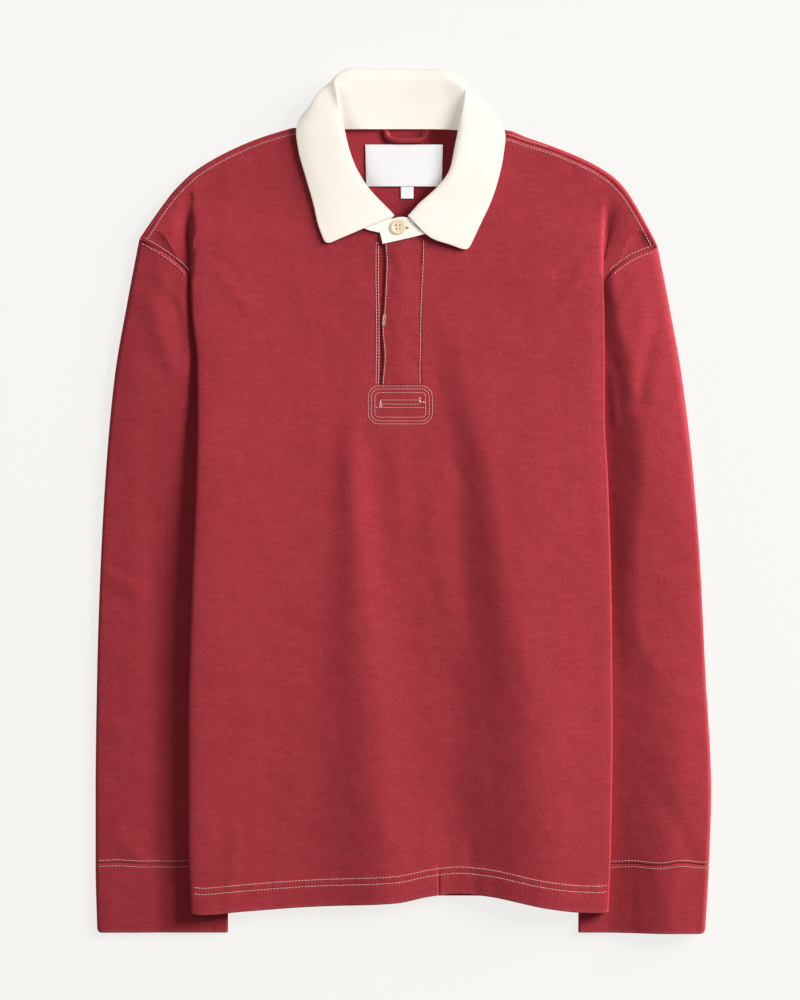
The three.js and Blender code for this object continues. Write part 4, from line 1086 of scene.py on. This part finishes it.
def collar_controls():
    """Points of each section: seam, stand, both ends of the turn with the roll between, leaf, fall, edge."""
    sets = []
    for seam, roll, leaf, edge, turn, over_stand in COLLAR:
        seam, roll, leaf, edge = (np.array(point) for point in (seam, roll, leaf, edge))
        flat = np.array([1, 1, 0])
        to_seam = (seam - roll) * flat
        to_leaf = (leaf - roll) * flat
        before = roll + to_seam / np.linalg.norm(to_seam) * turn * 1.3
        after = roll + to_leaf / np.linalg.norm(to_leaf) * turn * 1.3
        before[2] = roll[2] - turn * (1 + over_stand)
        after[2] = roll[2] - turn * (1 - over_stand)
        roll[2] -= turn * abs(over_stand)
        seam[2] = max(seam[2], on_front(seam[0], seam[1]) + 0.1)
        edge[2] = max(edge[2], on_front(edge[0], edge[1]))
        stand = mix(seam, before, 0.5)
        fall = mix(leaf, edge, 0.6)
        fall[2] = max(mix(leaf[2], edge[2], 0.42), on_front(fall[0], fall[1]))
        sets.append([seam, stand, before, roll, after, leaf, fall, edge])
    return np.array(sets)


def collar_grid():
    """Points of the collar along its length and across its section, with their shares of each."""
    controls = collar_controls()
    stations = np.concatenate([[0, 0.002, 0.006], np.linspace(0.012, 0.988, 200), [0.994, 0.998, 1]])
    lines = [spline(controls[:, k], stations) for k in range(controls.shape[1])]
    steps = np.concatenate([
        np.linspace(0, 1.8, 12), np.linspace(1.9, 4.1, 24), np.linspace(4.25, 6.8, 24), [6.88, 6.95, 7],
    ]) / 7
    return np.array([spline(section, steps) for section in np.stack(lines, 1)]), stations, steps


def round_corners(grid, from_front, from_edge, radius):
    """Rounds the points of the leaf, where its front end and its outer edge meet."""
    u = np.clip(1 - from_front / radius, 0, 1)[..., None]
    v = np.clip(1 - from_edge / radius, 0, 1)[..., None]
    outward = np.gradient(grid, axis=0)
    outward[:len(grid) // 2] *= -1
    across = np.gradient(grid, axis=1)
    outward /= np.linalg.norm(outward, axis=2, keepdims=True)
    across /= np.linalg.norm(across, axis=2, keepdims=True)
    pull_in = u * (np.sqrt(1 - v * v / 2) - 1)
    pull_up = v * (np.sqrt(1 - u * u / 2) - 1)
    return grid + radius * (outward * pull_in + across * pull_up)


COLLAR_LENGTH = 430
COLLAR_CORNER = 5


def make_collar(material):
    """Stand and leaf in one cloth that rolls over, thinner at its turned edges."""
    grid, stations, steps = collar_grid()
    length = np.linalg.norm(grid[:, -1] - grid[:, 0], axis=1)[:, None]
    from_edge = (1 - steps)[None, :] * length * 1.6
    from_front = np.minimum(stations, 1 - stations)[:, None] * COLLAR_LENGTH + 0 * from_edge
    near = np.minimum(from_edge, from_front)
    grid = round_corners(grid, from_front, from_edge, COLLAR_CORNER)
    normals = grid_normals(grid, False)
    x, y = grid[..., 0], grid[..., 1]
    uneven = 0.26 * waves(x, y, 44, 41) + 0.06 * waves(x, y, 17, 43)
    grid = grid + normals * (uneven * ramp(0, 12, near))[..., None]
    collar = wall("collar_cloth", grid, rounded(near, TWILL))
    return finish(collar, material, "collar_cream", "collar")


def band_height(x, y):
    """Height of the band's over end, from on the flap up to under the collar."""
    on_flap = front_height(x, 236) + FLAP_CROWN + (JERSEY + TRIM) / 2 + SEAM_GAP
    return mix(on_flap, BAND_TOP, ramp(236, 252, y))


def make_band(material):
    """Over end of the band, between its lower and its upper edge."""
    low = spline([(-18.4, 230.4), (-5, 233.4), (8, 236.4), (20, 239.4)], np.linspace(0, 1, 50))
    high = spline([(-21, 241.2), (-10.4, 252.4), (3.8, 254), (14.5, 243.6)], np.linspace(0, 1, 50))
    shares = np.array([0, 0.02, 0.06, 0.12, 0.25, 0.4, 0.55, 0.7, 0.85, 1])
    grid = [mix(low, high, t) for t in shares]
    xy = np.array(grid)
    across = np.linspace(0, 1, 50)[None, :] * 40
    near = np.minimum(shares[:, None] * 18, across)
    z = band_height(xy[..., 0], xy[..., 1]) + 0.15 * waves(xy[..., 0], xy[..., 1], 9, 51)
    band = wall("band_end", np.dstack([xy, z]), rounded(near, TRIM))
    return finish(band, material, "collar_cream", "collar_band_over")


# Placket

def flap_right(y):
    """Free edge of the flap, which stays inside the slit."""
    return np.maximum(flap_edge(y), SLIT_RIGHT + 2 * SEAM_GAP)


def flap_surface(x, y):
    """Middle of the flap, a little crowned, and slightly wavy in from its free edge."""
    share = np.clip((x - flap_right(y)) / (SLIT_LEFT - flap_right(y)) * 1.2, 0, 1)
    pull = 0.3 * waves(x, y * 0.8, 15, 61) * ramp(0, 0.2, share)
    return front_height(x, y) + FLAP_CROWN * np.sin(math.pi * share) + pull


def make_flap(material):
    ys = np.linspace(SLIT_Y + SEAM_GAP, 238, 60)
    across = [0, 0.012, 0.035, 0.07, 0.13, 0.2, 0.3, 0.4, 0.5, 0.6, 0.7, 0.8, 0.88, 0.94, 0.975, 1]
    x = mix(flap_right(ys)[:, None], SLIT_LEFT - 0.1, np.array(across)[None, :])
    y = ys[:, None] + 0 * x
    from_edge = x - flap_right(y)
    z = flap_surface(x, y) + row_dip(SLIT_LEFT - FLAP_ROW - x, 0.25)
    flap = wall("flap_cloth", np.dstack([x, y, z]), rounded(from_edge, JERSEY), fade=edge_fade(from_edge))
    return finish(flap, material, "jersey_red", "placket_flap")


def make_placket_under(material):
    ys = np.linspace(SLIT_Y - 6, 237, 40)
    xs = np.linspace(-27, 20, 16)
    x, y = np.meshgrid(xs, ys)
    z = front_height(x, y) - (JERSEY + TRIM) / 2 - SEAM_GAP
    under = wall("facing_cloth", np.dstack([x, y, z]), TRIM)
    return finish(under, material, "jersey_red", "placket_under")


# Label, tab, loop and button

def ribbon(name, box, shares_x, shares_y, shape, edges):
    """Woven piece in a box of the plan. shape moves its points, and edges is how many sides are turned."""
    u, v = np.meshgrid(shares_x, shares_y)
    width, height = box["left"] - box["right"], box["high"] - box["low"]
    x, y, z = shape(u, v, box["right"] + u * width, box["low"] + v * height)
    near = np.minimum.reduce([u * width, (1 - u) * width, v * height, (1 - v) * height][:edges])
    return wall(name, np.dstack([x, y, z + JERSEY + SEAM_GAP + TRIM / 2]), rounded(near, TRIM))


def make_label(material):
    def shape(u, v, x, y):
        sagged_x = x + 0.8 * (0.5 - v) * (1 - 2 * u)
        bulge = 0.5 * np.sin(math.pi * u) ** 2 * (1 - v)
        return sagged_x, y, bulge + 0.12 * (1 + waves(sagged_x, y, 30, 71))

    label = ribbon("label_ribbon", LABEL, np.linspace(0, 1, 40), np.linspace(0, 1, 22), shape, edges=4)
    return finish(label, material, "label_white", "neck_label")


def make_tab(material):
    def shape(u, v, x, y):
        return x, y, 0.3 * (1 - v) ** 2

    shares = np.linspace(0, 1, 14)
    tab = ribbon("tab_ribbon", TAB, shares, shares, shape, edges=3)
    return finish(tab, material, "label_white", "size_tab")


def make_loop(material):
    """Tube of jersey that hangs from the neck seam over the label."""
    lift = JERSEY + SEAM_GAP + LOOP["thick"] / 2
    middle = (LOOP["from"] + LOOP["to"]) / 2
    on_label = lift + TRIM + SEAM_GAP + 0.6
    path = spline([
        (LOOP["from"], LOOP["top"], lift),
        (LOOP["from"] + 2.6, 327, lift + 0.5),
        (middle - 9, LOOP["sag"] + 0.3, on_label),
        (middle + 2, LOOP["sag"], on_label + 0.4),
        (middle + 12, LOOP["sag"] + 0.8, on_label),
        (LOOP["to"] - 2.4, 327.2, lift + 0.5),
        (LOOP["to"], LOOP["top"], lift),
    ], np.linspace(0, 1, 90))
    sides = 20
    verts = []
    for place, forward in zip(path, np.gradient(path, axis=0)):
        aside = unit(np.cross(unit(forward), (0, 0, 1)))
        up = np.cross(aside, unit(forward))
        for angle in -2 * math.pi * np.arange(sides) / sides:
            flat = math.copysign(abs(math.sin(angle)) ** 0.8, math.sin(angle))
            verts.append(place + aside * math.cos(angle) * LOOP["width"] / 2 + up * flat * LOOP["thick"] / 2)
    loop = new_piece("loop_tube", verts, tube_faces(len(path), sides))
    return finish(loop, material, "jersey_red", "hanger_loop")


# Section of the button from its underside over the rim to the dished face: shares of radius and thickness
BUTTON_PROFILE = (
    (0.8, 0), (0.93, 0.12), (1, 0.45), (0.99, 0.7), (0.93, 0.95), (0.86, 1), (0.79, 0.96), (0.7, 0.8),
    (0.6, 0.68), (0.5, 0.62), (0.3, 0.59),
)


def drill_hole(disc, x, y):
    """Cuts one hole of the button through its whole thickness, while it is still in millimetres."""
    mesh = bpy.data.meshes.new("drill")
    shape = bmesh.new()
    bmesh.ops.create_cone(shape, cap_ends=True, segments=20, radius1=BUTTON["hole"], radius2=BUTTON["hole"],
                          depth=4 * BUTTON["thick"])
    bmesh.ops.translate(shape, verts=shape.verts, vec=(x, y, 0))
    shape.to_mesh(mesh)
    shape.free()
    drill = add_object("drill", mesh)
    cut = disc.modifiers.new("hole", "BOOLEAN")
    cut.operation = "DIFFERENCE"
    cut.object = drill
    graph = bpy.context.evaluated_depsgraph_get()
    result = bpy.data.meshes.new_from_object(disc.evaluated_get(graph))
    disc.modifiers.clear()
    disc.data = result
    bpy.data.objects.remove(drill)


def make_button(material):
    radius, around = BUTTON["radius"], 64
    circle = [(math.cos(angle), math.sin(angle)) for angle in 2 * math.pi * np.arange(around) / around]
    verts = [(share * radius * cosine, share * radius * sine, height * BUTTON["thick"])
             for share, height in BUTTON_PROFILE for cosine, sine in circle]
    disc = new_piece("button_disc", verts, tube_faces(len(BUTTON_PROFILE), around), scale=1)
    for sign_x in (-1, 1):
        for sign_y in (-1, 1):
            drill_hole(disc, sign_x * BUTTON["hole_at"], sign_y * BUTTON["hole_at"])
    seat = band_height(BUTTON["x"], BUTTON["y"] + radius * 0.8) + TRIM / 2 + SEAM_GAP
    place = np.array([BUTTON["x"], BUTTON["y"], seat])
    for vertex in disc.data.vertices:
        vertex.co = (np.array(vertex.co) + place) * MM
    disc.data.name = "button_disc"
    disc.data.set_sharp_from_angle(angle=math.radians(50))
    return finish(disc, material, "button_cream", "button")


# Rows of stitches

BOX = {"right": -31.5, "left": 26.1, "low": 69, "high": 103.1, "corner": 10}
BOX_INSETS = (0, 2.7, 6)
# The slit that is closed inside the box: from and to across, and height
BOX_SLIT = ((-20.7, 14.1, 90.5), (-18.8, 14.1, 86.8), (-25.1, 19.1, 83.6))
# Single tacks at the ends of that slit: where each starts and stops
BOX_TACKS = (
    (-21.2, 84, -20.48, 90), (-20.3, 84, -20.3, 90), (-19.4, 84, -20.12, 90),
    (14.3, 88.4, 14.3, 93), (15.1, 88.4, 15.1, 93), (14, 88.3, 19.7, 88.3), (14, 89.1, 19.7, 89.1),
)


def rounded_box(box, inset, step=1.0):
    """Closed outline of a box with round corners, set in by inset."""
    radius = max(box["corner"] - inset, 1)
    right, left = box["right"] + inset + radius, box["left"] - inset - radius
    low, high = box["low"] + inset + radius, box["high"] - inset - radius
    points = []
    for cx, cy, start in ((left, high, 0), (right, high, 90), (right, low, 180), (left, low, 270)):
        for angle in np.radians(np.linspace(start, start + 90, 9)):
            points.append((cx + radius * math.cos(angle), cy + radius * math.sin(angle)))
    points = np.array(points + points[:1])
    walked = np.concatenate([[0], np.cumsum(np.linalg.norm(np.diff(points, axis=0), axis=1))])
    return along_path(np.arange(0, walked[-1], step), walked, points)


def stitch_hem(material):
    xs = np.linspace(-187, 182, 400)
    rows = [over(front_surface, xs, front_hem(xs) + rise) for rise in HEM_ROWS]
    stitching("stitches_hem", rows, material, width=0.55)


def stitch_placket(material):
    """The box under the slit, the rows beside the slit and down the flap, and the flap's buttonhole."""
    box = [over(front_surface, *rounded_box(BOX, inset)) for inset in BOX_INSETS]
    box += [over(front_surface, np.linspace(start, end, 40), y) for start, end, y in BOX_SLIT]
    stitching("stitches_box", box, material, pitch=2.3, length=1.9)

    slit = np.linspace(SLIT_Y + 1, 232, 120)
    rows = [over(front_surface, SLIT_RIGHT - inset + 0.3 * np.sin(slit / 19), slit) for inset in SLIT_ROWS]
    flap = np.linspace(SLIT_Y + 1, 234, 120)
    from_left = FLAP_ROW - 3 * ramp(165, 234, flap) - 0.4 * np.sin(flap / 23)
    rows.append(over(flap_surface, SLIT_LEFT - from_left, flap))
    rows.append(over(flap_surface, flap_right(flap) + 1.4, flap))
    stitching("stitches_placket", rows, material)

    hole = np.linspace(158, 167, 24)
    buttonhole = [over(flap_surface, flap_right(hole) + inset, hole) for inset in (0.4, 1, 2.4)]
    stitching("stitches_buttonhole", buttonhole, material, pitch=0.75, length=0.7, width=0.8)


def stitch_neck(material, tan):
    """The tan buttonhole on the band, which shows beside the button, and the ends of the loop."""
    start = BUTTON["x"] + BUTTON["radius"] + 0.4
    xs = np.linspace(start, start + 2.4, 12)
    hole = [over(band_height, xs, BUTTON["y"] - 0.6 + side, TRIM / 2) for side in (-0.5, 0, 0.5)]
    stitching("stitches_band", hole, tan, pitch=0.6, length=0.7, width=0.7)

    ys = np.linspace(333.2, 328.2, 12)
    ends = [over(lambda a, b: JERSEY + 1 + 0 * a, np.linspace(x, x + lean, 12), ys, 0.1)
            for x, lean in ((LOOP["from"] + 2.3, 1.9), (LOOP["to"] - 2.6, -2.2))]
    stitching("stitches_loop", ends, material, pitch=1.7, length=1.6, width=0.6)


def stitch_tacks(material):
    tacks = [over(front_surface, np.linspace(x1, x2, 8), np.linspace(y1, y2, 8))
             for x1, y1, x2, y2 in BOX_TACKS]
    stitching("stitches_tacks", tacks, material, pitch=1.9, length=1.9, width=0.75)


def back_curl_height(x, y):
    """Height of the back's curled shoulder beside its seam."""
    return SHOULDER_HEIGHT - mix(0.25, 0.5, ramp(90, 190, np.abs(x))) + 0 * y


def front_open_height(side, x, y):
    """Height of the front between the armhole seam and the edge of the body."""
    seam_x = armhole_x[side](y)
    ridge_x = edge_of[side](y + 25) - FOLD_RADIUS
    q = np.clip((np.abs(x) - seam_x) / (ridge_x - seam_x), 0, 1)
    ridge_height = front_height(np.sign(x) * ridge_x, y + 25)
    return mix(SHOULDER_HEIGHT, ridge_height, q ** 3) - 0.6 * np.sin(math.pi * q)


def stitch_shoulder(side, material):
    """Rows below the shoulder seam, above it near the left neck point, and on both sides of the armhole."""
    sign = SIDES[side]
    along = np.linspace(NECK_POINT + 4, ARMHOLE[side]["x"][-1] - 6, 200)
    seam_y = np.array([shoulder_seam_y(side, x) for x in along])
    slant = np.hypot(1, np.gradient(seam_y, along))
    rows = [over(front_surface, sign * along, seam_y - 2.4 * slant)]
    if side == "left":
        near_neck = along < 130
        rows.append(over(back_curl_height, sign * along[near_neck], (seam_y + 2.8 * slant)[near_neck]))
    ys = np.linspace(205, ARMHOLE[side]["y"][-1] - 1.5, 80)
    arm_x = armhole_x[side](ys)
    slope = np.gradient(arm_x, ys)
    away = SEAM_ROW / np.hypot(1, slope)
    for outward, height in ((1, sleeve_height), (-1, front_open_height)):
        step = outward * away
        rows.append(over(partial(height, side), sign * (arm_x + step), ys - step * slope))
    stitching(f"stitches_armhole_{side}", rows, material)


def stitch_cuff(side, material):
    outer = sleeve_edge_of[side](CUFF_SEAM_Y) - 2
    xs = SIDES[side] * np.linspace(edge_of[side](CUFF_SEAM_Y) + 1, outer, 120)
    seam = CUFF_SEAM_Y + cuff_wave(xs)
    rows = [over(partial(sleeve_height, side), xs, seam + SEAM_ROW),
            over(partial(cuff_height, side), xs, seam - SEAM_ROW)]
    stitching(f"stitches_cuff_{side}", rows, material)


def make_stitching(material, tan):
    stitch_hem(material)
    stitch_placket(material)
    stitch_neck(material, tan)
    stitch_tacks(material)
    for side in SIDES:
        stitch_shoulder(side, material)
        stitch_cuff(side, material)


# Stage

# The red cloth is lit by a low key from the right, which models its folds. The pale pieces get the same
# light from higher up, as flagged off in a studio, so they stay as even as in the photograph.
# Each row: name, azimuth and elevation in degrees, distance and width in metres, power, and what it lights
LIGHTS = (
    ("key", 28, 19, 3.6, 1.9, 324, "red"),
    ("fill", 110, 60, 4.0, 3.0, 10, "red"),
    ("edge", 195, 14, 3.6, 2.0, 20, "red"),
    ("pale_key", 28, 42, 3.6, 1.9, 132, "pale"),
    ("pale_fill", 200, 45, 3.6, 2.4, 64, "pale"),
    ("floor_key", 28, 19, 9, 4.7, 2080, "floor"),
)
LIGHT_OF = {"collar_cream": "pale", "label_white": "pale", "button_cream": "pale", "floor": "floor"}
FLOOR = {"half": 3.0, "z": -0.0003}
CAMERA = {"pixel": 0.9 * MM, "lens": 100, "sensor": 36, "rows": 1000, "x": -3.15, "y": 0.9}


def lit_group(name):
    group = bpy.data.collections.get(f"lit_{name}")
    return group or bpy.data.collections.new(f"lit_{name}")


def sort_by_light():
    """Puts each mesh with the lights that shine on it."""
    for piece in bpy.context.scene.objects:
        if piece.type == "MESH":
            material = piece.data.materials[0].name.split(".")[0]
            lit_group(LIGHT_OF.get(material, "red")).objects.link(piece)


def make_floor():
    """Even pale ground, bright by itself so that the shirt's soft shadow is all that shows on it."""
    half, z = FLOOR["half"], FLOOR["z"]
    mesh = bpy.data.meshes.new("floor")
    mesh.from_pydata([(-half, -half, z), (half, -half, z), (half, half, z), (-half, half, z)], [],
                     [(0, 1, 2, 3)])
    look = Look("floor")
    base = look.blend(look.noise(3, 2), (0.12, 0.119, 0.115, 1), (0.125, 0.124, 0.12, 1))
    look.shade(base, 1, 0, Emission_Color=(0.94, 0.93, 0.9, 1), Emission_Strength=0.87)
    mesh.materials.append(look.material)
    add_object("floor", mesh)


def make_camera():
    """Camera straight above, as far off as makes a pixel of the render the size that the photo's has."""
    data = bpy.data.cameras.new("camera")
    data.lens = CAMERA["lens"]
    data.sensor_width = CAMERA["sensor"]
    camera = add_object("camera", data)
    distance = CAMERA["rows"] * CAMERA["lens"] / CAMERA["sensor"]
    camera.location = [place * CAMERA["pixel"] for place in (CAMERA["x"], CAMERA["y"], distance)]
    bpy.context.scene.camera = camera


def make_lights():
    world = bpy.data.worlds.new("studio")
    world.use_nodes = True
    background = world.node_tree.nodes["Background"]
    background.inputs["Color"].default_value = (1, 1, 1, 1)
    background.inputs["Strength"].default_value = 0.16
    bpy.context.scene.world = world
    for name, azimuth, elevation, distance, width, energy, lit in LIGHTS:
        data = bpy.data.lights.new(name, "AREA")
        data.shape = "DISK"
        data.size = width
        data.energy = energy
        light = add_object(name, data)
        turn, climb = math.radians(azimuth), math.radians(elevation)
        reach = distance * math.cos(climb)
        light.location = (reach * math.cos(turn), reach * math.sin(turn), distance * math.sin(climb))
        light.rotation_euler = (math.pi / 2 - climb, 0, turn + math.pi / 2)
        light.light_linking.receiver_collection = lit_group(lit)
    bpy.context.scene.view_settings.view_transform = "Standard"


def main():
    make_floor()
    make_camera()
    make_lights()
    jersey = jersey_material()
    twill = twill_material()
    thread = plain_material("thread_pale", (0.74, 0.47, 0.42, 1), 0.8, 2500, 0.05)
    tan = plain_material("thread_tan", (0.52, 0.22, 0.09, 1), 0.8, 2500, 0.05)
    white = plain_material("label_white", (0.86, 0.855, 0.85, 1), 0.6, 1200, 0.08)
    shell = plain_material("button_cream", (0.86, 0.72, 0.50, 1), 0.3, 300, 0.02, 0.5)
    pieces = {"front": make_front(jersey), "back": make_back(jersey)}
    for side in SIDES:
        pieces[f"sleeve_{side}"] = make_sleeve(side, jersey)
        pieces[f"cuff_{side}"] = make_cuff(side, jersey)
    pieces["collar"] = make_collar(twill)
    pieces["band"] = make_band(twill)
    pieces["flap"] = make_flap(jersey)
    pieces["facing"] = make_placket_under(jersey)
    pieces["label"] = make_label(white)
    pieces["tab"] = make_tab(white)
    make_loop(jersey)
    make_button(shell)
    make_stitching(thread, tan)
    sort_by_light()


main()
